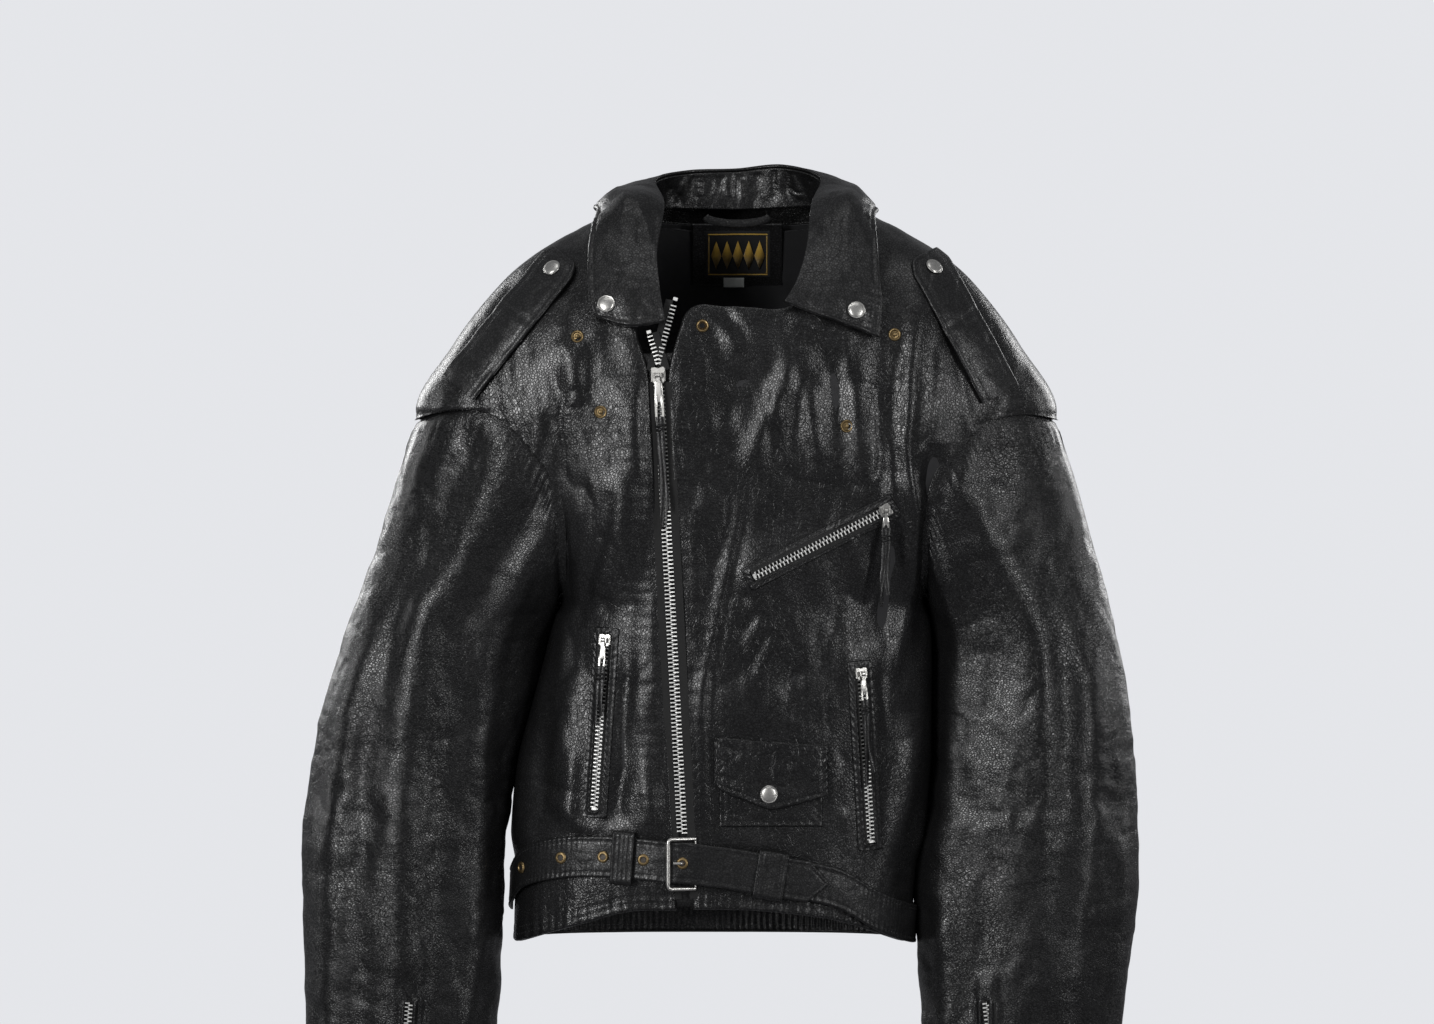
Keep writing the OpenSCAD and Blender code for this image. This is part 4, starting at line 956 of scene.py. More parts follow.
def build_lining():
    """Lining inside the fronts and back, with soft drape; it shows through the neck and from below."""
    solid = Solid()
    drop = 7.5
    u, v = np.linspace(0, 1, int(60 * FINE)), np.linspace(0, 1, int(130 * FINE))
    grids = [(FRONT, front_patch(RIGHT, u, v)), (FRONT, front_patch(LEFT, u, v))]
    grids += [(BACK, back_patch(np.linspace(0, 1, int(120 * FINE)), np.linspace(0.042, 1, int(150 * FINE))))]
    for face, flat in grids:
        x, z = flat[..., 0], flat[..., 1]
        p = upright(x, z, 90.0 * face)
        ripple = layered(p, (26, 40, 90), 51) * 1.6 + creased(p, (30, 40, 60), 57) * 1.2
        r = np.abs(x - smooth(MIDDLE, z)) / smooth(HALF, z)
        h = (
            -mix(4.2, drop + 1.8, ease((z - 20) / 24))
            + ripple * (1 - ease((r - 0.8) / 0.15)) * ease((z - 18) / 20)
        )
        solid.sheet(on_skin(face, x, z, h), on_skin(face, x, z, h - 0.8))
    fit(solid.make("lining", [LINING], sharp=None), "shell", "lining_fabric", "body_lining", "pocket_bags")


def build_hem_facing():
    """Band inside the back hem, gathered by its stitching."""
    t = np.linspace(0, 1, int(420 * FINE))
    z = np.linspace(-5, 22, 22)
    x = smooth(MIDDLE, 0) - 0.985 * HEM_HALF * np.cos(np.pi * t)
    X, Z = np.meshgrid(x, z)
    p = upright(X, Z)
    gather = np.sin(X / 5.2 * 2 * np.pi + 1.5 * noise(p, 23.0, 4)) * (0.75 + 0.35 * noise(p, 12.0, 8))
    wave = noise(p, (40, 10, 60), 5)
    edge = np.minimum(Z + 5, 22 - Z)
    h = -LEATHER - 2.2 + gather * 0.75 * ease(edge / 5) + wave
    solid = Solid().sheet(on_skin(BACK, X, Z, h), on_skin(BACK, X, Z, h - 1.2 + 0.5 * rounded(edge)))
    fit(solid.make("hem_band", [TRIM_LEATHER], sharp=None), "shell", "black_leather", "hem_facing")
    for level in (1, 16):
        line = on_skin(BACK, x, level + 0 * x, -LEATHER - 3.9)
        stitch(line, -skin_normal(line), pitch=4.2)


# ---- Collar ------------------------------------------------------------------------

def collar_keys():
    """Stations of (fold line, middle of the fall, free edge), from the right tip round to the left."""
    f = lambda x, z, h: tuple(front(x, z, h))
    return [
        (f(-57, 521, 9), f(-88, 517, 9), f(-117, 527, 6)), (f(-62, 550, 7), f(-92, 551, 9), f(-122, 545, 6)),
        ((-65, -74, 585), f(-94, 589, 8), f(-121, 588, 6)),
        ((-60, -38, 624), (-92, -48, 632), f(-113, 614, 5)),
        ((-66, 8, 648), (-98, 12, 642), (-116, 14, 621.5)), ((-39, 36, 657), (-60, 62, 644), (-74, 72, 606)),
        ((3, 44, 659), (3, 72, 648), (3, 84, 602)), ((43, 36, 662), (64, 62, 646), (82, 72, 606)),
        ((75, 8, 650), (104, 12, 644), (121, 14, 620)), ((68, -38, 624), (98, -48, 630), f(119, 608, 5)),
        ((63, -74, 588), f(94, 585, 8), f(122, 576, 6)), (f(54, 556, 7), f(88, 548, 9), f(125, 540, 6)),
        (f(43, 537, 9), f(78, 524, 9), f(123, 509, 6)),
    ]


COLLAR = collar_keys()
COLLAR_THICK, COLLAR_RUN, COLLAR_FALL, COLLAR_SEAM = 2.4, 560, 74, 6.2


def collar_grid(s, w):
    fold, fall, rim = (spline([k[i] for k in COLLAR], s)[:, None] for i in range(3))
    W = w[None, :, None]
    # a smooth curve through the three lines, close to the CAD's two straight spans
    straight = np.where(W < 0.5, mix(fold, fall, W * 2), mix(fall, rim, W * 2 - 1))
    curved = fold * (2 * W - 1) * (W - 1) + fall * 4 * W * (1 - W) + rim * W * (2 * W - 1)
    return mix(straight, curved, 0.6)


def build_collar():
    s, w = spread(COLLAR_RUN, 2.6), spread(COLLAR_FALL, 2.2)
    g = collar_grid(s, w)
    n = grid_normals(g)
    if n[len(s) // 2, len(w) // 2, 1] < 0:
        n = -n
    ds, dw = s[:, None] * COLLAR_RUN, w[None, :] * COLLAR_FALL
    end = np.minimum(ds, COLLAR_RUN - ds)
    rim = COLLAR_FALL - dw
    wrinkle = layered(g, (20, 20, 26), 61) * 0.9 + creased(g, (26, 26, 34), 67) * 0.8
    crease = stroke(g[..., 0], g[..., 2], [(-84, 632), (-74, 605), (-67, 572)], 3.5, 1.8)
    crease = crease * (g[..., 1] < 0)
    h = wrinkle * ease(dw / 8 + 0 * ds) + crease
    for gap in (rim + 0 * ds, end + 0 * dw):
        h = h + channel(gap, COLLAR_SEAM, 1.2, 0.9)
    h = h + 0.5 * hump(np.minimum(rim + 0 * ds, end + 0 * dw) - 3, 2.5)
    edge = np.minimum(end + 0 * dw, rim + 0 * ds)
    h = h + rounded(edge, 2.4) + seam_pucker(ds + 0 * dw, rim - 7 + 0 * ds, 0.35, 7, 7, 15)
    over = g + n * (COLLAR_THICK + h)[..., None]
    fit(sheet_object("collar_fall", over, g, [COLLAR_LEATHER]), "shell", "black_leather", "collar")
    k = nearest(rim, COLLAR_SEAM)
    stitch(over[4:-4, k], n[4:-4, k])
    for share in (s, 1 - s):
        row = nearest(share * COLLAR_RUN, COLLAR_SEAM)
        stitch(over[row, :k], n[row, :k])


def build_stand():
    """Inner band from the fold line down to the neck seam, crinkled at the back."""
    neck = [
        front(-84, 560, -9), (-96, -40, 606), (-100, 8, 618), (-66, 38, 616), (3, 46, 614), (74, 38, 616),
        (108, 8, 614), (104, -40, 604), front(86, 566, -9),
    ]
    crest = [COLLAR[k][0] for k in range(2, 11)]
    s, w = np.linspace(0, 1, int(180 * FINE)), np.linspace(0, 1, int(34 * FINE))
    a, b = spline(crest, s)[:, None], spline(neck, s)[:, None]
    g = mix(a, b, 0.02 + 0.72 * w[None, :, None])
    n = grid_normals(g)
    inside = np.array([4, -20, 620.0]) - g[len(s) // 2, len(w) // 2]
    if n[len(s) // 2, len(w) // 2] @ inside < 0:
        n = -n
    S = s[:, None] * 420
    crinkle = layered(g, (9, 9, 22), 71) + creased(g, (11, 11, 26), 73) * 1.3
    middle = -1.4 * hump(S - 210, 1.6) + 0 * w[None]
    h = 1.6 + crinkle * ease(w[None] / 0.15) + middle
    over, under = g + n * h[..., None], g + n * -0.2
    stand = sheet_object("collar_stand_band", over, under, [COLLAR_LEATHER])
    fit(stand, "shell", "black_leather", "collar_stand")
    stitch(over[:, -3], n[:, -3])


# ---- Snaps -------------------------------------------------------------------------

def cap(solid, m):
    dome = [(7.4 * math.sin(a), 2.5 + 1.5 * math.cos(a)) for a in np.linspace(math.pi / 2, 0.12, 9)]
    rim = [(0, 0), (5, 0), (5, 1.7), (7.2, 1.8), (7.5, 2.1), (7.5, 2.5), (7.1, 2.9), (6.7, 2.85)]
    solid.lathe(m, rim + [(r * 0.88, z) for r, z in dome[1:]] + [(0, 4.0)], 40)


def stud(solid, m, hollow=True):
    """Brass base of a press stud: a rolled flange, a groove and, unless hollow, the stud's own head."""
    ring = [(0, 0.1), (5.3, 0.1), (5.6, 0.6), (5.4, 1.2), (4.7, 1.7), (4.0, 1.6), (3.5, 1.1), (3.2, 0.5)]
    if hollow:
        solid.lathe(m, ring + [(2.4, 0.35), (0, 0.35)], 36)
        solid.lathe(m, [(2.35, 0.3), (2.9, 0.3), (2.9, 1.5), (2.6, 1.9), (2.35, 1.5)], 32)
    else:
        head = [(1.8, 0.6), (1.6, 1.4), (1.6, 2.3), (1.9, 2.9), (1.4, 3.6), (0.6, 3.85), (0, 3.9)]
        solid.lathe(m, ring + head, 36)


def build_snaps():
    caps = Solid()
    cap(caps, standing(-106, 535, 9.2))
    cap(caps, standing(103, 530, 9.4))
    fit(caps.make("collar_caps", [NICKEL]), "shell", "nickel", "collar_snaps")
    studs = Solid()
    for x, z in ((-132, 511), (137, 513), (-112, 447), (96, 435)):
        stud(studs, standing(x, z, float(body_height(FRONT, x, z))), hollow=False)
    stud(studs, standing(-26, 520, float(body_height(FRONT, -26, 520))))
    fit(studs.make("front_studs", [BRASS]), "shell", "antique_brass", "lapel_studs")


# ---- Label, tag, hang loop ------------------------------------------------------------

def inner(x, z, h):
    return on_skin(BACK, x, z, -8.5 - h)


def label_sheet(solid, x0, x1, z0, z1, low, high, mark=0, step=2.0):
    x, z = np.meshgrid(
        spread(x1 - x0, step, (0, 0.4, 1.0)) * (x1 - x0) + x0,
        spread(z1 - z0, step, (0, 0.4, 1.0)) * (z1 - z0) + z0
    )
    edge = np.minimum(np.minimum(x - x0, x1 - x), np.minimum(z - z0, z1 - z))
    wave = 0.5 * noise(upright(x, z), 24.0, 31)
    solid.sheet(inner(x, z, high + wave + rounded(edge, 0.8)), inner(x, z, low + wave), mark)


def build_label():
    frame_ = Solid()
    label_sheet(frame_, -36, 44, 566, 620, 2.4, 4.2)
    fit(frame_.make("label_backing", [TRIM_LEATHER], sharp=None), "shell", "black_leather", "label_patch")
    woven = Solid()
    label_sheet(woven, -24, 33, 574, 615, 4.2, 4.8)
    for x0, x1, z0, z1 in (
        (-22, 31, 611.6, 613.4), (-22, 31, 575.6, 577.4), (-22, -20.2, 577.4, 611.6), (29.2, 31, 577.4, 611.6)
    ):
        label_sheet(woven, x0, x1, z0, z1, 4.7, 5.15, 1, 4.0)
    box = [(0, 1, 2, 3), (7, 6, 5, 4)] + [(i, (i + 1) % 4, (i + 1) % 4 + 4, i + 4) for i in range(4)]
    corners = np.linspace(0, 2 * np.pi, 4, endpoint=False)
    for k in range(5):  # a plain row of woven lozenges, no lettering
        cx, cz = 4.5 + (k - 2) * 9.5, 594.5
        ring = [(cx + 4.5 * math.cos(a), cz + 13 * math.sin(a)) for a in corners]
        woven.add(np.array([inner(x, z, h) for h in (5.5, 4.6) for x, z in ring]), box, 1)
    fit(woven.make("woven_label", [LINING, GOLD_THREAD], sharp=None), "shell", "label_fabric")
    tag = Solid()
    label_sheet(tag, -8, 10, 564.5, 573.5, 4.5, 5.2)
    fit(tag.make("care_tag", [TAG_CLOTH], sharp=None), "shell", "tag_fabric", "size_tag")
    t = np.linspace(0, 1, 40)
    path = np.stack([mix(-24, 32, t), 35 + 0 * t, 619 - 6 * np.sin(np.pi * t) ** 0.5], -1)
    loop = Solid().sweep(path, slab_section(7, 1.8), (0, 1, 0.0))
    fit(loop.make("hanger_loop", [TRIM_LEATHER]), "shell", "black_leather", "hang_loop")


# ---- Zips ------------------------------------------------------------------------------

def teeth(solid, m, length, chain, pitch, hand, start=0.2):
    """One row of shaped metal teeth along +Y, pointing to +X or -X."""
    back, nose, half = -chain / 2 - 0.4, chain * 0.1, chain * 0.17
    outline = np.array([
        (back, -half), (back, half), (-chain * 0.2, half), (nose - 0.5, half * 0.8), (nose, half * 0.3),
        (nose, -half * 0.3), (nose - 0.5, -half * 0.8), (-chain * 0.2, -half),
    ]) * (hand, 1)
    wide = pitch * np.array([0.30, 0.30, 0.30, 0.36, 0.40, 0.40, 0.36, 0.30]) / 2
    n = len(outline)
    base = np.concatenate([np.column_stack([outline[:, 0], w, outline[:, 1]]) for w in (-wide, wide)])
    faces = [list(range(n)), list(range(n, 2 * n))[::-1]]
    faces += [[i, i + n, (i + 1) % n + n, (i + 1) % n] for i in range(n)]
    for i in range(int(length / pitch)):
        solid.add(moved(m, base + (0, start + pitch * (i + 0.25), 0)), faces)


def tape_strip(solid, m, length, x0, x1):
    z0, z1 = -1.2, -0.3
    y = np.linspace(0, length, max(3, int(length / 12)))
    ridge = np.array([
        (x0, z1), (x0 + 0.2 * (x1 - x0), z1 + 0.5), (x0 + 0.4 * (x1 - x0), z1),
        (x1, z1 - 0.2), (x1, z0), (x0, z0),
    ])
    solid.sweep(moved(m, np.column_stack([0 * y, y, 0 * y])), ridge, m[:3, 2], mark=1)


def zip_chain(name, m, length, node, body="shell"):
    """A closed pocket or cuff chain on its tapes, with a stop at the low end."""
    solid = Solid()
    half = POCKET_CHAIN / 2
    for hand in (-1, 1):
        start = 0.2 if hand < 0 else 0.2 + POCKET_PITCH / 2
        teeth(solid, m, length, POCKET_CHAIN, POCKET_PITCH, hand, start)
        tape_strip(solid, m, length + 4, hand * -(half - 0.2), hand * -(half + 4.2))
    stop = arc_outline([(-2.2, -1.6), (2.2, -1.6), (2.2, 1), (-2.2, 1)], 0.6)
    solid.plate(shifted(m, 0, 1.4), stop, -1.2, 1.6)
    fit(solid.make(name, [STEEL, TAPE]), body, "steel", node)


def slider_piece(name, m, chain, body, tilt=0.0):
    """Slider: a waisted front plate with rolled flanges and a bridge that holds the pull's pin."""
    w, length, z = chain + 3.4, chain * 1.9, chain * 0.17 + 0.5
    outline = arc_outline([
        (-w * 0.36, -length / 2), (w * 0.36, -length / 2), (w / 2, -length * 0.3), (w * 0.46, 0),
        (w * 0.58, length * 0.42), (w * 0.3, length / 2), (0, length * 0.4), (-w * 0.3, length / 2),
        (-w * 0.58, length * 0.42), (-w * 0.46, 0), (-w / 2, -length * 0.3),
    ], 1.4)
    solid = Solid().plate(m, outline, z, z + 1.3, 0.4)
    for s in (-1, 1):
        edge, reach = s * w / 2, length * 0.36
        flange = [(edge - 0.7, -reach), (edge + 0.3, -reach), (edge + 0.6, reach), (edge - 0.5, reach)]
        solid.plate(m, arc_outline(flange, 0.4), -1.2, z + 0.6, 0.2)
    ear = chain * 0.28
    rise = chain * 0.17 + PIN_RISE
    top = shifted(m, turn=tilt)
    for s in (-1, 1):
        x = s * (ear + 0.75)
        post = arc_outline([(x - 0.7, -2.2), (x + 0.7, -2.2), (x + 0.7, 2.2), (x - 0.7, 2.2)], 0.5)
        solid.plate(top, post, z + 0.9, rise + 1.3, 0.35)
    pin = moved(top, [(-ear - 0.9, 0, rise), (ear + 0.9, 0, rise)])
    solid.sweep(np.linspace(pin[0], pin[1], 3), circle(0.9, 16), m[:3, 2])
    fit(solid.make(name, [NICKEL]), body, "nickel", body)


def pull_piece(name, m, chain, length, body):
    """Pull: a barrel on the pin, a neck, and a tapered tab with a raised border and a slot."""
    ear, half = chain * 0.28, chain * 0.52
    solid = Solid()
    barrel = moved(m, [(-ear + 0.3, 0, 0), (ear - 0.3, 0, 0)])
    ring = circle(2.1, 20)
    solid.sweep(np.linspace(barrel[0], barrel[1], 3), ring, m[:3, 2])
    side = ear - 0.4
    solid.plate(m, arc_outline([(-side, -6), (side, -6), (side, -1.2), (-side, -1.2)], 0.3), -0.8, 0.8, 0.3)
    neck = half * 0.72
    outer = arc_outline([
        (-half, -length + 1), (-half * 0.6, -length), (half * 0.6, -length), (half, -length + 1),
        (half, -length * 0.55), (neck, -5), (-neck, -5), (-half, -length * 0.55),
    ], 1.6, 5)
    centre = np.array([0, -length + length * 0.27])
    hole = np.stack([
        np.clip((outer[:, 0]) * 0.42, -half * 0.42, half * 0.42),
        np.clip(centre[1] + (outer[:, 1] + length * 0.55) * 0.42, -length + 3, -length + length * 0.46),
    ], -1)
    solid.ring_plate(m, outer, hole, -0.75, 0.85, 0.3)
    fit(solid.make(name, [NICKEL]), body, "nickel", body)


def thong_piece(name, m, start, length, body, node, seed, squash=None):
    """Two strands of soft leather lace from a knot at the pull's slot, each with its own waver and twist."""
    rng = np.random.default_rng(seed)
    solid = Solid()
    for k, share in ((0, 1.0), (1, 0.84)):
        t = np.linspace(0, 1, 44)
        x = (k * 2 - 1) * (1.5 + 0.8 * t) + 1.1 * np.sin(t * (5 + k) + rng.uniform(0, 6)) * t
        y = -start + 6 - (length * share + 5) * t
        z = 1.0 + 0.5 * k + 0.6 * np.sin(t * 7 + rng.uniform(0, 6)) * t
        width = 4.2 * (1 - 0.25 * t**6) * (1 + 0.08 * np.sin(t * 23 + k))
        section = np.stack([slab_section(w, 1.3, 4) for w in width])
        turn = 0.5 * np.sin(t * 4.5 + rng.uniform(0, 6)) * t
        solid.sweep(moved(m, np.column_stack([x, y, z])), section, m[:3, 2], twist=turn)
    a = np.linspace(0, 2 * np.pi, 20, endpoint=False)
    for lift, wide in ((0.0, 3.6), (3.4, 3.0)):
        bend = -start - 1.5 - lift + 0.6 * np.sin(2 * a)
        knot = np.column_stack([wide * np.cos(a), bend, 0.8 + 1.6 * np.sin(a)])
        solid.sweep(moved(m, knot), circle(1.15, 8), m[:3, 1], closed=True)
    obj = solid.make(name, [TRIM_LEATHER])
    fit(obj, body, "black_leather", node)
    if squash:
        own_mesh(obj)


def build_main_zip():
    p, q = front(*ZIP_FOOT, 0.6), front(*ZIP_TOP, 0.6)
    m = place(p, q)
    length = float(np.linalg.norm(q - p))
    pitch = 3.4
    solid = Solid()
    d = unit(q - p)
    for hand, top in ((-1, RIGHT_TOP), (1, LEFT_TOP)):
        teeth(solid, m, length - 6, CHAIN, pitch, hand, 0.2 if hand < 0 else 0.2 + pitch / 2)
        tape_strip(solid, shifted(m, 0, -55), length + 50, hand * -(CHAIN / 2 - 0.2), hand * -(CHAIN / 2 + 7))
        start = q + d * 9 + np.array([hand * 2.6, 0, 0])
        end = front(*top, 0.6)
        row = shifted(place(start, end), -hand * 1.4)
        run = float(np.linalg.norm(end - start))
        teeth(solid, row, run, CHAIN, pitch, hand, 0.3)
        tape_strip(solid, shifted(row, 0, -6), run + 6, hand * -(CHAIN / 2 - 0.2), hand * -(CHAIN / 2 + 6))
        stop = arc_outline([(-2, 0), (2, 0), (2, 3), (-2, 3)], 0.7)
        solid.plate(shifted(row, -hand * CHAIN * 0.25, run), stop, -1.5, 1.7)
    nodes = "main_teeth_right", "main_teeth_left", "main_zip_tape", "zip_underlay"
    fit(solid.make("main_zip_chain", [STEEL, TAPE]), "shell", "steel", *nodes)
    under = Solid()
    z = np.linspace(HEM_RISE + 2, ZIP_TOP[1] + 20, 90)
    x = zip_x(z)[:, None] + np.linspace(16, -24, 14)[None]
    Z = z[:, None] + 0 * x
    wob = 0.5 * noise(np.stack([x, 0 * x, Z], -1), (12, 10, 30), 44)
    under.sheet(front(x, Z, -3.4 + wob), front(x, Z, -4.6 + wob))
    fit(under.make("zip_guard", [TRIM_LEATHER], sharp=None), "shell", "black_leather")
    at = shifted(m, 0, length + 1)
    slider_piece("main_zip_slider", at, CHAIN, "main_slider")
    hang = shifted(at, z=CHAIN * 0.17 + PIN_RISE)
    pull_piece("main_zip_pull", hang, CHAIN, 41, "main_pull")
    anchor = moved(hang, [(0, -41, 0)])[0] * MM
    thong_piece("main_lace", hang, 41, 88, "main_pull", "main_thong", 5, ("main_slide", tuple(anchor), 0.14))


def build_pocket_zip(name, tilt, pull_length, thong_length, seed):
    low, high, lift = POCKETS[name]
    p, q = front(*low, lift), front(*high, lift)
    m = place(p, q)
    length = float(np.linalg.norm(q - p))
    zip_chain(name + "_zip_chain", m, length - 6, name + "_teeth")
    at = shifted(m, 0, length - 4)
    slider_piece(name + "_zip_slider", at, POCKET_CHAIN, name + "_slider", tilt)
    hang = shifted(at, z=POCKET_CHAIN * 0.17 + PIN_RISE, turn=tilt)
    pull_piece(name + "_zip_pull", hang, POCKET_CHAIN, pull_length, name + "_pull")
    thong_piece(name + "_lace", hang, pull_length, thong_length, name + "_pull", name + "_thong", seed)


def build_welts():
    """Stitched leather frames round the pocket openings, with rolled lips beside each chain."""
    solid = Solid()
    for low, high, _ in POCKETS.values():
        d = unit(high - low)
        across = np.array([d[1], -d[0]])
        inner_half, outer_half, extra = POCKET_CHAIN / 2 + 1.6, POCKET_CHAIN / 2 + 7.6, 7.0
        length = float(np.linalg.norm(high - low))

        def loop(half, extend, n):
            """Rounded rectangle round the opening, in (along, across)."""
            corners = [(-extend, -half), (length + extend, -half), (length + extend, half), (-extend, half)]
            round_ = arc_outline(corners, 2.5, 5)
            return walk(np.vstack([round_, round_[:1]]), np.linspace(0, 1, n, endpoint=False))

        count = int(240 * FINE)
        shares = np.array([0, 0.06, 0.15, 0.3, 0.45, 0.6, 0.75, 0.86, 0.94, 1.0])
        inside, outside = loop(inner_half, 1.0, count), loop(outer_half, extra, count)
        ring = np.stack([mix(outside, inside, k) for k in shares], 1)
        x = low[0] + ring[..., 0] * d[0] + ring[..., 1] * across[0]
        z = low[1] + ring[..., 0] * d[1] + ring[..., 1] * across[1]
        arc = np.arange(count)[:, None] * 1.4 + 0 * x
        k = shares[None, :]
        profile = (
            1.7 - 1.5 * (1 - np.clip(k / 0.1, 0, 1)) ** 2 + 1.0 * hump(k - 0.86, 0.12)
            - 3.2 * np.clip((k - 0.9) / 0.1, 0, 1) ** 2
        )
        profile = profile - 0.55 * hump(k - 0.34, 0.09) + seam_pucker(arc, 0 * x, 0.22, 9, 6, 77)
        base = body_height(FRONT, x, z)
        over = front(x, z, base + profile)
        under = front(x, z, base + 0 * profile - 1.0)
        rows, cols = over.shape[:2]
        t = np.arange(rows * cols).reshape(rows, cols)
        deep = t + rows * cols  # the same points on the inside
        faces = []
        for i in range(rows):
            i2 = (i + 1) % rows
            for j in range(cols - 1):
                faces.append((t[i, j], t[i, j + 1], t[i2, j + 1], t[i2, j]))
                faces.append((deep[i, j], deep[i2, j], deep[i2, j + 1], deep[i, j + 1]))
            for j in (0, cols - 1):
                faces.append((t[i, j], t[i2, j], deep[i2, j], deep[i, j]))
        solid.add(np.concatenate([over.reshape(-1, 3), under.reshape(-1, 3)]), faces)
        line = over[:, 4]
        closed = np.vstack([line, line[:1]])
        stitch(closed, pitch=3.0)
    fit(solid.make("pocket_frames", [TRIM_LEATHER], sharp=None), "shell", "black_leather", "pocket_welts")


# ---- Small pocket and its flap -------------------------------------------------------------

FLAP_LEFT, FLAP_RIGHT = np.array([-16.0, 172.0]), np.array([80.0, 165.0])
FLAP_WIDTH, FLAP_DROP = 96, 54
COIN_X, COIN_Z = (-12, 76), (96, 164)  # the patch's sides, and its bottom and top
COIN_SNAP = (30, 124)


def build_coin_pocket():
    x, z = np.meshgrid(*(spread(hi - lo, 2.2) * (hi - lo) + lo for lo, hi in (COIN_X, COIN_Z)))
    edge = np.minimum(*(np.minimum(v - lo, hi - v) for v, (lo, hi) in ((x, COIN_X), (z, COIN_Z))))
    base = body_height(FRONT, x, z)
    p = upright(x, z)
    h = (
        base + 1.7 + rounded(edge, 1.6) + channel(edge, 4.0) + layered(p, 15, 81) * 0.5
        + seam_pucker(x + z, edge - 4, 0.4, 6, 7, 18)
    )
    over = front(x, z, h)
    patch = Solid().sheet(over, front(x, z, base - 0.3)).make("coin_patch", [BODY_LEATHER], sharp=None)
    fit(patch, "shell", "black_leather", "coin_pocket")
    brass = Solid()
    stud(brass, standing(*COIN_SNAP, 1.6), hollow=False)
    fit(brass.make("coin_pocket_stud", [BRASS]), "shell", "antique_brass", "coin_stud")

    s, w = spread(FLAP_WIDTH, 1.8), spread(FLAP_DROP, 1.8)
    top = mix(FLAP_LEFT, FLAP_RIGHT, s[:, None])
    tip = 1 - np.abs(2 * s - 1)
    corner = 1 - 0.10 * hump(np.minimum(s, 1 - s), 0.03)
    drop = (43 + 16 * (1 - np.sqrt((1 - tip) ** 2 + 0.004))) * corner
    x = top[:, 0][:, None] + 0 * w[None]
    z = top[:, 1][:, None] - drop[:, None] * w[None]
    ds = np.minimum(s, 1 - s)[:, None] * FLAP_WIDTH + 0 * w[None]
    dw = (1 - w)[None] * FLAP_DROP + 0 * s[:, None]
    edge = np.minimum(ds, dw)
    p = upright(x, z)
    h = 5.0 + layered(p, (16, 10, 20), 91) * 0.7 + rounded(np.minimum(edge, w[None] * FLAP_DROP), 1.6)
    h = (
        h + channel(edge, 5.0, 1.1, 0.6) + 0.35 * hump(edge - 2.4, 1.8)
        + seam_pucker(x - z, edge - 5, 0.35, 6, 7, 28)
    )
    h = h + creased(p, (22, 20, 30), 93) * 0.9
    over = front(x, z, h)
    flap = Solid().sheet(over, front(x, z, np.full(x.shape, 3.6)))
    flap = flap.make("coin_pocket_flap", [BODY_LEATHER], sharp=None)
    fit(flap, "coin_flap", "black_leather", "coin_flap")
    k = nearest((1 - w) * FLAP_DROP, 5.0)
    thread = Solid()
    stitch(over[3:-3, k], solid=thread)
    for share in (s, 1 - s):
        stitch(over[nearest(share * FLAP_WIDTH, 5), 2:k], solid=thread)
    fit(thread.make("flap_stitches", [THREAD], sharp=None), "coin_flap", "black_leather")
    metal_cap = Solid()
    cap(metal_cap, standing(*COIN_SNAP, 4.2))
    fit(metal_cap.make("flap_cap", [NICKEL]), "coin_flap", "nickel", "coin_cap")


# ---- Epaulettes -----------------------------------------------------------------------------

EPAULETTE_WIDTH, EPAULETTE_HALF = 34, 17.1


def epaulette_line(side):
    snap = np.array([-148.0, 572.0] if side == RIGHT else [166.0, 573.0])
    root = np.array([-232.0, 468.0] if side == RIGHT else [226.0, 462.0])
    d = unit(root - snap)
    return snap - d * 9, root, d


def build_epaulette(side):
    name = "epaulette_right" if side == RIGHT else "epaulette_left"
    start, root, d = epaulette_line(side)
    across = np.array([d[1], -d[0]])
    length = float(np.linalg.norm(root - start))
    s, w = spread(length, 2.0), spread(EPAULETTE_WIDTH, 1.7)
    k = w[None] * 2 - 1
    nose = mix(0.62, 1, np.sqrt(np.clip(s * length / 12, 0, 1)))[:, None]
    flat = start + (root - start) * s[:, None, None] + across * (EPAULETTE_HALF * k * nose)[..., None]
    x, z = flat[..., 0], flat[..., 1]
    ds = s[:, None] * length + 0 * k
    dw = (1 - np.abs(k)) * EPAULETTE_HALF * nose
    edge = np.minimum(ds, dw)
    p = upright(x, z)
    h = (
        4.9 + rounded(edge, 1.6) + channel(edge, 4.4, 1.1, 0.6) + layered(p, 18, 101 + side) * 0.6
        + creased(p, 30, 103) * 0.7
    )
    h = (
        h + 0.9 * (1 - (k * nose) ** 2)
        + 0.6 * stroke(x, z, [start + d * 62 - across * 20, start + d * 66 + across * 20], 2.5, -1.5)
    )
    over = front(x, z, h)
    strap = Solid().sheet(over, front(x, z, np.full(x.shape, 3.0)))
    fit(strap.make(name + "_strap", [TRIM_LEATHER], sharp=None), name, "black_leather", name)
    thread = Solid()
    for share in (w, 1 - w):
        stitch(over[4:-2, nearest(share * EPAULETTE_WIDTH, 4.4)], solid=thread)
    r = nearest(s * length, 4.6)
    stitch(over[r, 4:-4], solid=thread)
    fit(thread.make(name + "_stitches", [THREAD], sharp=None), name, "black_leather")
    snap = mix(start, root, 0.11)
    metal_cap = Solid()
    cap(metal_cap, standing(*snap, 4.2))
    fit(metal_cap.make(name + "_snap", [NICKEL]), name, "nickel", name + "_cap")
    return snap


def build_shoulder_studs(snaps):
    brass = Solid()
    for snap in snaps:
        stud(brass, standing(*snap, 0.2), hollow=False)
    fit(brass.make("shoulder_studs", [BRASS]), "shell", "antique_brass", "epaulette_studs")


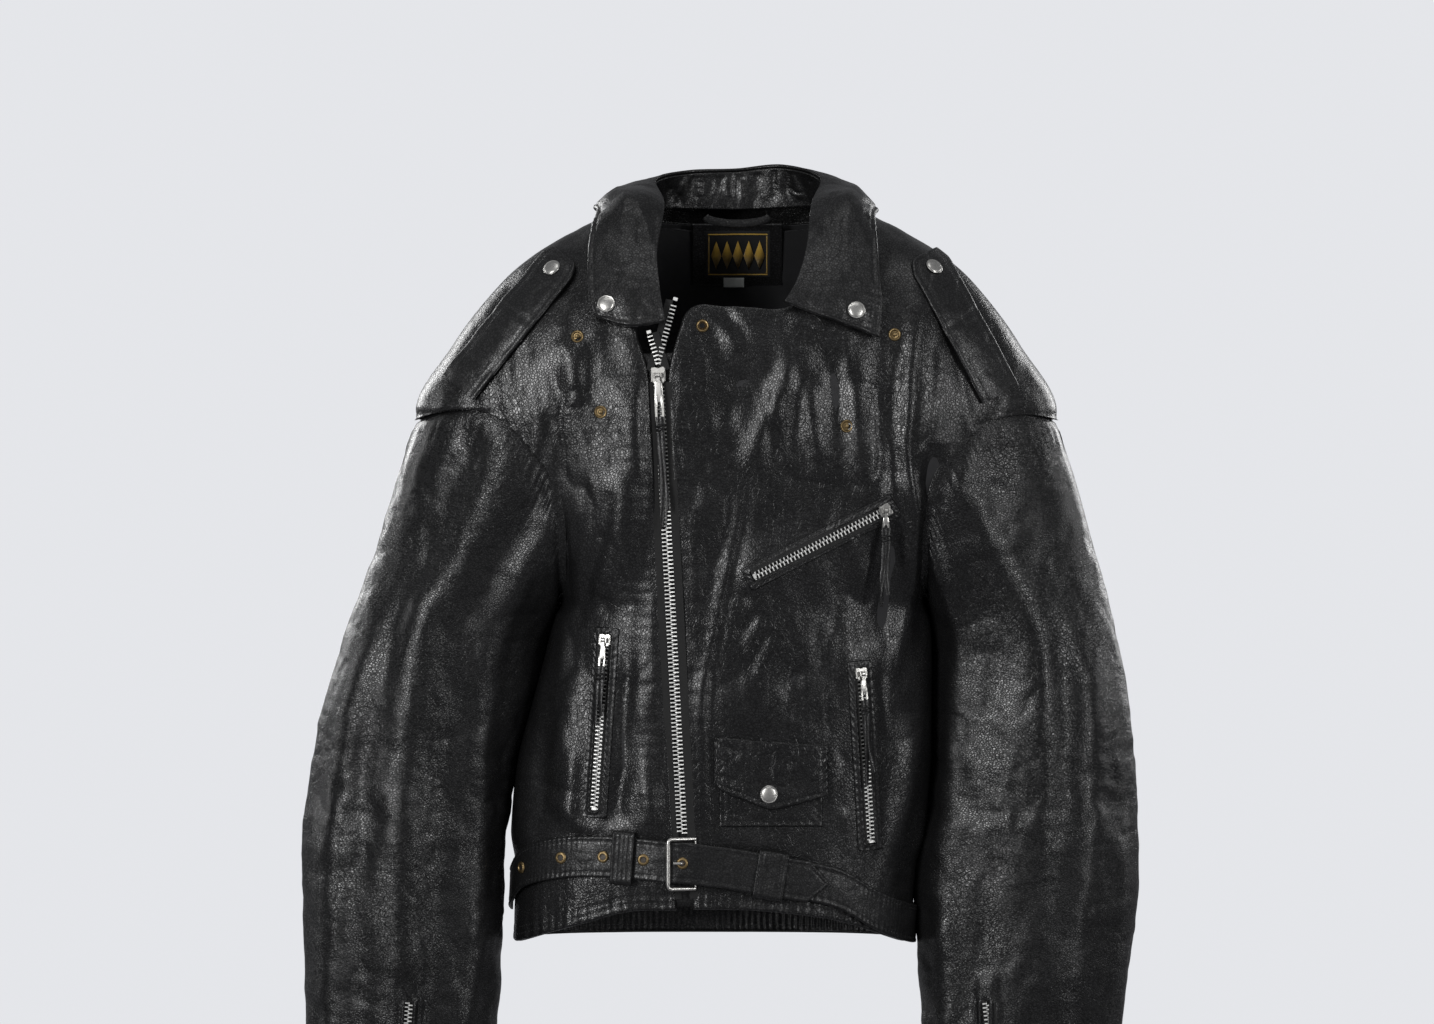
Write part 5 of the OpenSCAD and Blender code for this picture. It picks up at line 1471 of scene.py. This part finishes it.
# ---- Belt -----------------------------------------------------------------------------------

STRAP = [
    (64, 48), (72, 50.5), (81, 55.5), (88, 60.5), (92.4, 65), (97.7, 66.5), (103.7, 68.5), (115.9, 70.5),
    (132.5, 69), (156.5, 59), (172, 44), (190, 34),
]
BASE = [(-14, 8), (10, 10), (30, 16), (45, 26), (60, 43), (72, 50.5), (81, 55.5), (88, 60.5), (92.4, 65)]
STRAP_OVER = [(64, 6.4), (98, 6.4), (108, 2.6), (190, 2.6)]
BASE_OVER, BELT_THICK, BELT_WIDTH = 2.2, 2.0, 35.0
EYELETS = (94.7, 103.7, 115.9, 132.5, 156.5)
EYELET_RIM = [
    (2.5, 1.2), (2.5, 3.6), (2.9, 4.0), (3.8, 4.05), (4.7, 3.6), (5.1, 2.7), (4.6, 2.2), (3.4, 2.2),
    (3.2, 1.2),
]
BUCKLE_BAR = 92.4  # angle round the body
BUCKLE_TOP, BUCKLE_REACH = 10.9, 23  # height and distance of the end that the strap runs over


def strap_point(a):
    return around(np.asarray(a, float), smooth(STRAP, a), np.zeros(np.shape(a)))


def band_strip(keys, over_keys, a0, a1, width, tip, seed):
    """A stitched strap laid round the body between two angles; tip is the angle its pointed end takes."""
    n = int(abs(a1 - a0) * 2.2 * FINE)
    a = np.concatenate(
        [[a0, a0 + 0.12, a0 + 0.3, a0 + 0.6], np.linspace(a0 + 1, a1 - 0.6, n), [a1 - 0.3, a1 - 0.12, a1]]
    )
    w = spread(width, 1.6, (0, 0.3, 0.8, 1.5, 2.6))
    k = w[None] * 2 - 1
    wide = np.ones(len(a)) if not tip else np.clip(0.12 + 0.88 * (a - a0) / tip, 0, 1)
    A = a[:, None] + 0 * k
    z = smooth(keys, A) + k * wide[:, None] * width / 2
    dw = (1 - np.abs(k)) * width / 2 * wide[:, None]
    low = smooth(over_keys, A)
    flat = around(A, z, 0 * A)
    h = (
        rounded(dw, 1.2) + channel(dw, 4.2, 0.9, 0.45) + layered(flat, (22, 22, 14), seed) * 0.35
        + 0.3 * hump(dw - 2.2, 1.5)
    )
    h = h + seam_pucker(A * 2.6, dw - 4, 0.18, 5, 6, seed)
    over = around(A, z, low + BELT_THICK + 0.4 + h)
    under = around(A, z, low)
    return over, under, w


def stitch_band(over, w, width):
    for share in (w, 1 - w):
        stitch(over[3:-3, nearest(share * width, 4.2)], pitch=3.2)


def build_belt():
    over, under, w = band_strip(STRAP, STRAP_OVER, 65, 186, BELT_WIDTH, 6, 111)
    strap = Solid().sheet(over, under).make("belt_strap_leather", [TRIM_LEATHER], sharp=None)
    fit(strap, "shell", "black_leather", "belt_strap")
    stitch_band(over, w, BELT_WIDTH)
    over, under, w = band_strip(BASE, [(-14, BASE_OVER), (102, BASE_OVER)], -10, 92, BELT_WIDTH - 2, 0, 117)
    solid = Solid().sheet(over, under)
    m = standing_at(strap_point(BUCKLE_BAR), BASE_OVER + BELT_THICK / 2)
    for y0, y1 in ((-16.5, -3.2), (3.2, 16.5)):
        y = np.linspace(y0, y1, 6)
        solid.sweep(moved(m, np.column_stack([0 * y, y, 0 * y])), circle(2.8, 18), m[:3, 2])
    fit(solid.make("belt_base_leather", [TRIM_LEATHER], sharp=None), "shell", "black_leather", "belt_base")
    stitch_band(over, w, BELT_WIDTH - 2)

    rims = Solid()
    for a in EYELETS:
        at = standing_at(strap_point(a), float(smooth(STRAP_OVER, a)))
        rims.lathe(at, EYELET_RIM, 40)
        rims.lathe(at, [(0, 2.2), (2.7, 2.2), (2.7, 2.9), (0, 2.9)], 32, mark=1)
    fit(rims.make("belt_eyelet_rims", [BRASS, DARK_METAL]), "shell", "antique_brass", "belt_eyelets")


def band_loop(node, m, width, height, low, high, body, seed):
    """A leather loop round the belt, with two rows of stitches beside its edges."""
    name = node + "_leather"
    half = height / 2
    corners = [(-half, low), (half, low), (half, high), (-half, high)]
    ring = arc_outline(corners, 3.2, 7)
    ring = walk(np.vstack([ring, ring[:1]]), np.linspace(0, 1, int(120 * FINE), endpoint=False))
    x = (spread(width, 1.3, (0, 0.3, 0.8, 1.5)) - 0.5) * width
    centre = np.array([0, (low + high) / 2])
    out = unit(np.roll(ring, 1, 0) - np.roll(ring, -1, 0))[:, ::-1] * (1, -1)
    edge = np.minimum(x + width / 2, width / 2 - x)
    p = np.stack([ring[:, None, 0] + 0 * x, 0 * x + 0 * ring[:, None, 0], x[None] + 0 * ring[:, None, 0]], -1)
    h = (
        1.4 + rounded(edge, 1.1)[None] + channel(edge, 3.6, 0.9, 0.5)[None]
        + channel(np.abs(x), 1.8, 0.8, 0.35)[None] + layered(p, 14, seed) * 0.35
    )
    if np.mean((ring - centre) * out) < 0:
        out = -out
    outer = ring[:, None] + out[:, None] * h[..., None]
    inner_ = ring[:, None] + 0 * h[..., None]
    to3 = lambda yz: moved(m, np.stack([np.broadcast_to(x, yz.shape[:2]), yz[..., 0], yz[..., 1]], -1))
    over, under = to3(outer), to3(inner_)
    over_, under_ = np.swapaxes(over, 0, 1), np.swapaxes(under, 0, 1)
    fit(sheet_object(name, over_, under_, [TRIM_LEATHER], tube=True), body, "black_leather", node)
    thread = Solid()
    top = outer[:, 0, 1] > (low + high) / 2 - 1
    for k in (nearest(x + width / 2, 3.6), nearest(width / 2 - x, 3.6), nearest(x, -1.8), nearest(x, 1.8)):
        stitch(over[top, k], np.broadcast_to(m[:3, 2], over[top, k].shape), pitch=3.0, solid=thread)
    fit(thread.make(name + "_stitches", [THREAD], sharp=None), body, "black_leather")


def build_loops():
    at = shifted(standing_at(strap_point(109.6)), turn=-4)
    band_loop("belt_loop", at, 19, BELT_WIDTH + 8, 1.6, 9.2, "shell", 121)
    at = shifted(standing_at(strap_point(81)), turn=-9.5)
    band_loop("belt_keeper", at, 26, BELT_WIDTH + 4, 1.5, 10.4, "belt_keeper", 123)


def build_buckle():
    rise = BASE_OVER + BELT_THICK / 2
    m = standing_at(strap_point(BUCKLE_BAR), rise)
    lean = math.atan2(BUCKLE_TOP - rise, BUCKLE_REACH)
    r = np.eye(4)
    r[0, 0], r[0, 2], r[2, 0], r[2, 2] = math.cos(lean), math.sin(lean), -math.sin(lean), math.cos(lean)
    tilt = m @ r
    reach, half = math.hypot(BUCKLE_TOP - rise, BUCKLE_REACH), 21.0
    corners = arc_outline([(-reach, half), (-reach, -half), (0, -half), (0, half)], 3.5, 7)
    fine = walk(np.vstack([[(0, half)], corners[:14], [(0, -half)]]), np.linspace(0, 1, 90))
    path = moved(tilt, np.column_stack([fine, 0 * fine[:, 0]]))
    frame_ = Solid().sweep(path, slab_section(3.4, 3.0, 6), tilt[:3, 2])
    roller = np.column_stack([np.full(9, -reach), np.linspace(-half + 4.5, half - 4.5, 9), np.zeros(9)])
    frame_.sweep(moved(tilt, roller), circle(2.15, 20), tilt[:3, 2])
    bar = np.column_stack([np.zeros(5), np.linspace(-half, half, 5), np.zeros(5)])
    frame_.sweep(moved(tilt, bar), circle(1.0, 16), tilt[:3, 2])
    fit(frame_.make("buckle_wire", [NICKEL]), "buckle_frame", "nickel", "buckle_frame")

    to_eye = strap_point(EYELETS[0]) - strap_point(BUCKLE_BAR)
    eye = np.array([to_eye @ m[:3, 0], to_eye @ m[:3, 1]])
    top = float(smooth(STRAP_OVER, EYELETS[0])) + BELT_THICK + 1.5 + 1 + 0.6 - rise
    knees = [(-1.4, 0), (eye[0], 0), (eye[0], top), (-18.8, top + 0.4)]
    line = walk(knees, np.linspace(0, 1, 70), 0.05)
    path = np.column_stack([line[:, 0], np.full(70, eye[1]), line[:, 1]])
    prong = Solid().sweep(moved(m, path), circle(1.15, 14), m[:3, 1])
    along_bar = m.copy()
    along_bar[:3, 0], along_bar[:3, 1], along_bar[:3, 2] = m[:3, 2], m[:3, 0], m[:3, 1]
    along_bar[:3, 3] += eye[1] * m[:3, 1]
    prong.lathe(along_bar, [(1.3, -2), (2.1, -2), (2.1, 2), (1.3, 2)], 24)
    fit(prong.make("buckle_prong_wire", [NICKEL]), "shell", "nickel", "buckle_prong")


# ---- Sleeves --------------------------------------------------------------------------------

SLEEVE_DEPTH, CUFF_DEPTH, SLEEVE_LENGTH = 66, 40, 640.0
SLIT_ANGLE = {RIGHT: 97.0, LEFT: 116.0}
SLIT_TOP = 0.845
# how far the inner edge leans to the body, by share of the length
SLEEVE_REST = {
    RIGHT: [(0, 0), (0.04, 5), (0.08, 5.5), (0.2, 4.5), (0.35, 4.5), (0.5, 3.5), (0.6, 1.0), (0.66, 0),
        (0.78, 0), (0.88, 5), (1, 4)],
    LEFT: [(0, 0), (0.06, 4), (0.13, 4.5), (0.22, 4.2), (0.3, 3.9), (0.5, 3.9), (0.58, 6), (0.66, 11),
        (0.72, 12), (0.8, 8), (1, 3)],
}


def sleeve_stations(side):
    """(share of the length, outer x, outer z, inner x, inner z, half depth, middle y)."""
    tip, low = side_point(side, Z_TIP), side_point(side, Z_UNDERARM)
    if side == RIGHT:
        rows = [(-317, 307, -161, 250), (-340, 244, -174, 201), (-362, 160, -189, 145), (-370, 68, -196, 73),
                (-368, -20, -200, -20), (-364, -90, -210, -90), (-358, Z_CUFF, -228, Z_CUFF)]
    else:
        rows = [(319, 307, 173, 250), (334, 244, 173, 201), (345, 160, 173, 145), (349, 68, 169, 73),
                (342, -20, 166, -20), (334, -90, 170, -90), (326, Z_CUFF, 196, Z_CUFF)]
    rows = [(*tip, *low)] + rows
    depth = [SLEEVE_DEPTH + k for k in (8, 3, 0, -2, -6, -12, -18)] + [CUFF_DEPTH]
    middle = [0, -2, -5, -9, -14, -19, -22, -25]
    at = [0, 0.2, 0.35, 0.5, 0.65, 0.8, 0.9, 1]
    return [(s, (*row, d, y)) for s, row, d, y in zip(at, rows, depth, middle)]


def sleeve_base(side, s, a):
    """Smooth sleeve surface: s runs down from the armhole, a is 0 at the outer edge, 90 at the front."""
    s, a = np.broadcast_arrays(np.asarray(s, float), np.asarray(a, float))
    c, sn = np.cos(np.radians(a)), np.sin(np.radians(a))
    st = smooth(sleeve_stations(side), s)
    outer, inner_, depth, middle = st[..., 0:2], st[..., 2:4], st[..., 4], st[..., 5]
    fade = ease(s / 0.3)[..., None]
    k = ((c + 1) / 2)[..., None]
    seam_at = armhole(side, c, mix(-6, 1.2, ease(s * SLEEVE_LENGTH / 8)))
    chord = mix(side_point(side, Z_UNDERARM), side_point(side, Z_TIP), k)
    p = mix(inner_, outer, k) + (seam_at - chord) * (1 - fade)
    face = np.where(sn >= 0, FRONT, BACK)
    head_y = face * np.maximum(skin_y(seam_at[..., 0], seam_at[..., 1]), 12 * np.abs(sn))
    tube_y = middle - sn * depth
    y = mix(head_y, tube_y, ease(s / 0.22))
    return np.stack([p[..., 0], y, p[..., 1]], -1)


def sleeve_ridges(side):
    """Long soft ridges as (angle keys along the sleeve, width in degrees, height)."""
    if side == RIGHT:
        return [
            ([(0.0, 70), (0.3, 76), (0.5, 87), (1.0, 90)], 9, 3.4),
            ([(0.0, 112), (0.3, 120), (0.6, 140), (1.0, 132)], 8, 3.6),
            ([(0.25, 47), (0.5, 47), (1.0, 44)], 9, 3.6),
            ([(0.0, 95), (0.3, 99), (0.5, 112), (1.0, 111)], 8, -2.6),
            ([(0.0, 45), (0.3, 61), (0.5, 66), (1.0, 67)], 8, -2.4),
            ([(0.1, 215), (0.6, 222), (1.0, 230)], 14, 3.0),
            ([(0.1, 270), (0.6, 262), (1.0, 275)], 15, 3.0), ([(0.1, 320), (1.0, 312)], 13, 2.6),
            ([(0.2, 245), (1.0, 248)], 10, -2.2),
        ]
    return [
        ([(0.0, 120), (0.3, 140), (0.6, 148), (1.0, 140)], 8, 3.6),
        ([(0.0, 80), (0.3, 84), (0.5, 86), (0.7, 88)], 9, 3.0),
        ([(0.3, 52), (0.6, 60), (0.9, 66), (1.0, 66)], 9, 3.4),
        ([(0.0, 104), (0.3, 112), (0.6, 118), (1.0, 116)], 9, -2.4),
        ([(0.2, 68), (0.5, 73), (0.8, 78)], 7, -2.0), ([(0.1, 215), (0.6, 222), (1.0, 230)], 14, 3.0),
        ([(0.1, 270), (0.6, 278), (1.0, 265)], 15, 3.0), ([(0.1, 320), (1.0, 312)], 13, 2.6),
        ([(0.2, 245), (1.0, 248)], 10, -2.2),
    ]


def sleeve_height(side, s, a, base):
    girth = 2.6
    h = layered(base, (40, 40, 70), 131 + side) * 1.6 + layered(base, (34, 34, 15), 137 + side) * 0.3
    h = h + creased(base, (60, 60, 38), 141 + side) * 0.7 + layered(base, (11, 11, 13), 147, 2) * 0.22
    for keys, width, height in sleeve_ridges(side):
        middle = smooth(keys, s)
        first, last = keys[0][0], keys[-1][0]
        fade = ease((s - first) / 0.12 + (0.6 if first == 0 else 0))
        fade = fade * ease((last - s) / 0.14 + (1 if last == 1 else 0))
        h = h + height * fade * hump(a - middle, 1.25 * width)
    elbow = hump(s - 0.55, 0.13)
    h = h + elbow * layered(base, (44, 44, 20), 151 + side) * 0.8
    inside = hump(a - 165, 24) * ease((s - 0.3) / 0.3)
    h = h + inside * layered(base, (30, 30, 26), 157) * 1.6
    h = h + smooth(SLEEVE_REST[side], s) * hump(a - 180, 34)
    head = s * SLEEVE_LENGTH
    h = h * ease(head / 26 + 0.1)
    h = h + seam_pucker(a * girth, head - 8, 0.8, 14, 12, 161) * ease((head - 4) / 8)
    h = h - 3.2 * (1 - ease(head / 8))
    cuff = (1 - s) * SLEEVE_LENGTH
    near_slit = np.abs(a - SLIT_ANGLE[side]) * girth * 0.72
    on = ease((s - SLIT_TOP) / 0.012)
    calm = 1 - (1 - ease((near_slit - 5) / 14)) * ease((s - SLIT_TOP + 0.04) / 0.03)
    h = h * calm
    lips = 2.2 * hump(near_slit - 6.4, 2.6) - 2.2 * np.exp(-((near_slit / 4.2) ** 4))
    h = h + on * (lips + channel(near_slit, 11.5, 1.2, 0.7) + 0.6 * hump(near_slit - 14, 3))
    h = h + channel(cuff, 9, 1.2, 0.6) + seam_pucker(a * girth, cuff - 9, 0.4, 8, 8, 167)
    return h + rounded(cuff, 1.7)


def along_slit(side):
    at = SLIT_ANGLE[side]
    low, high = sleeve_base(side, 1.0, at), sleeve_base(side, SLIT_TOP, at)
    s = (1 + SLIT_TOP) / 2
    turn = sleeve_base(side, s, at + 2) - sleeve_base(side, s, at - 2)
    run = sleeve_base(side, s + 0.02, at) - sleeve_base(side, s - 0.02, at)
    return low, high, unit(side * np.cross(turn, run))


def build_sleeve(side):
    word = "right" if side == RIGHT else "left"
    body = "sleeve_" + word
    s = spread(SLEEVE_LENGTH, 2.5)
    at = SLIT_ANGLE[side]
    coarse = np.linspace(0, 360, int(200 * FINE), endpoint=False)
    tight = at + np.linspace(-9, 9, 36)
    a = np.sort(np.concatenate([coarse[np.abs(coarse - at) > 9.2], tight]))
    S, A = s[:, None] + 0 * a[None], a[None] + 0 * s[:, None]
    base = sleeve_base(side, S, A)
    n = grid_normals(base, tube=True)
    spine = base.mean(axis=1, keepdims=True)
    if ((base - spine) * n).sum(-1).mean() < 0:
        n = -n
    h = sleeve_height(side, S, A, base)
    over = base + n * h[..., None]
    under = base + n * (np.minimum(h, 0) * 0.5 - LEATHER - 0.6)[..., None]
    obj = sheet_object(body + "_leather", over, under, [SLEEVE_LEATHER, LINING], tube=True)
    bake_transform(obj)
    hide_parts(body)

    k = nearest((1 - s) * SLEEVE_LENGTH, 9)
    ring = np.vstack([over[k], over[k][:1]])
    stitch(ring, np.vstack([n[k], n[k][:1]]), body)
    rows = s > SLIT_TOP + 0.005
    for offset in (-6.2, 6.2):
        c = nearest(a, at + offset)
        stitch(over[rows, c], n[rows, c], body)

    lo, hi, up = along_slit(side)
    m = place(lo, hi, up)
    length = float(np.linalg.norm(hi - lo)) - 4
    cuff = "cuff_" + word
    zip_chain(cuff + "_zip_chain", shifted(m, 0, 1), length, cuff + "_teeth", body)
    slide = shifted(m, 0, 9, 1.2)
    slider_piece(cuff + "_zip_slider", slide, POCKET_CHAIN, cuff + "_slider")
    hang = shifted(slide, z=POCKET_CHAIN * 0.17 + PIN_RISE)
    pull_piece(cuff + "_zip_pull", hang, POCKET_CHAIN, 24, cuff + "_pull")


# ---- Stage ----------------------------------------------------------------------------------

BACKDROP, FLOOR_PAINT, FLOOR_LEVEL = (0.78, 0.79, 0.82, 1), (0.22, 0.22, 0.23, 1), -0.30
WORLD_LIGHT, WORLD_SEEN = 0.30, 1.0  # how bright the backdrop is for the jacket, and for the camera
LAMPS = [  # name, place, height it is aimed at, size, watts
    ("key", (-1.6, -2.6, 0.95), 0.25, (0.6, 1.7), 52),
    ("fill", (1.9, -2.3, 0.8), 0.25, (0.5, 1.6), 26),
    ("rear", (-1.9, 2.4, 1.3), 0.25, (0.9, 1.2), 30),
    ("rear_fill", (1.9, 2.3, 1.1), 0.25, (0.8, 1.2), 20),
    ("side_right", (-2.9, 0.6, 0.9), 0.25, (0.5, 1.4), 12),
    ("side_left", (2.9, 0.5, 0.9), 0.25, (0.5, 1.4), 12),
    ("overhead", (0, -0.9, 2.8), 0.3, (1.6, 1.2), 9),
]
VIEW_WIDTH, VIEW_DISTANCE, VIEW_CENTRE = 1.229, 5.0, (-0.0137, 0.3625)
FRONT_PLANE = -0.03  # where the view is as wide as VIEW_WIDTH


def build_stage():
    """Pale floor and backdrop of one tone, and large soft lamps."""
    pale = bpy.data.materials.new("pale_floor")
    pale.use_nodes = True
    tree = pale.node_tree
    paint = tree.nodes["Principled BSDF"]
    paint.inputs["Base Color"].default_value = FLOOR_PAINT
    paint.inputs["Roughness"].default_value = 0.9
    glow = tree.nodes.new("ShaderNodeEmission")
    glow.inputs["Color"].default_value = BACKDROP
    seen = tree.nodes.new("ShaderNodeLightPath")
    blend = tree.nodes.new("ShaderNodeMixShader")
    tree.links.new(seen.outputs["Is Camera Ray"], blend.inputs[0])
    tree.links.new(paint.outputs[0], blend.inputs[1])
    tree.links.new(glow.outputs[0], blend.inputs[2])
    tree.links.new(blend.outputs[0], tree.nodes["Material Output"].inputs["Surface"])
    bpy.ops.mesh.primitive_plane_add(size=60, location=(0, 0, FLOOR_LEVEL))
    floor = bpy.context.object
    floor.name = "floor"
    floor.data.materials.append(pale)

    world = bpy.data.worlds.new("studio")
    bpy.context.scene.world = world
    world.use_nodes = True
    tree = world.node_tree
    back = tree.nodes["Background"]
    path = tree.nodes.new("ShaderNodeLightPath")
    level = tree.nodes.new("ShaderNodeMapRange")
    level.inputs["To Min"].default_value = WORLD_LIGHT
    level.inputs["To Max"].default_value = WORLD_SEEN
    tree.links.new(path.outputs["Is Camera Ray"], level.inputs["Value"])
    tree.links.new(level.outputs["Result"], back.inputs["Strength"])
    back.inputs["Color"].default_value = BACKDROP

    for name, spot, aim, size, watts in LAMPS:
        data = bpy.data.lights.new(name, "AREA")
        data.shape, data.energy = "RECTANGLE", watts
        data.size, data.size_y = size
        lamp = bpy.data.objects.new(name, data)
        bpy.context.scene.collection.objects.link(lamp)
        lamp.location = spot
        lamp.rotation_euler = (Vector((0, 0, aim)) - Vector(spot)).to_track_quat("-Z", "Y").to_euler()
    bpy.context.scene.view_settings.view_transform = "Standard"


def build_camera():
    data = bpy.data.cameras.new("camera")
    data.sensor_width, data.clip_end = 36, 100
    data.lens = 36 * VIEW_DISTANCE / VIEW_WIDTH
    cam = bpy.data.objects.new("camera", data)
    bpy.context.scene.collection.objects.link(cam)
    cam.location = (VIEW_CENTRE[0], -VIEW_DISTANCE + FRONT_PLANE, VIEW_CENTRE[1])
    cam.rotation_euler = (math.pi / 2, 0, 0)
    bpy.context.scene.camera = cam


build_front(RIGHT)
build_front(LEFT)
build_back()
build_lining()
build_hem_facing()
build_collar()
build_stand()
build_snaps()
build_label()
build_main_zip()
build_pocket_zip("chest", tilt=63, pull_length=20, thong_length=62, seed=11)
build_pocket_zip("hand_right", tilt=0, pull_length=28, thong_length=45, seed=12)
build_pocket_zip("hand_left", tilt=0, pull_length=28, thong_length=68, seed=13)
build_welts()
build_coin_pocket()
build_shoulder_studs([build_epaulette(RIGHT), build_epaulette(LEFT)])
build_belt()
build_loops()
build_buckle()
build_sleeve(RIGHT)
build_sleeve(LEFT)
for body_name, collected in STITCH.items():
    threads = collected.make("stitches_" + body_name, [THREAD], sharp=None)
    fit(threads, body_name, "black_leather")
build_stage()
build_camera()
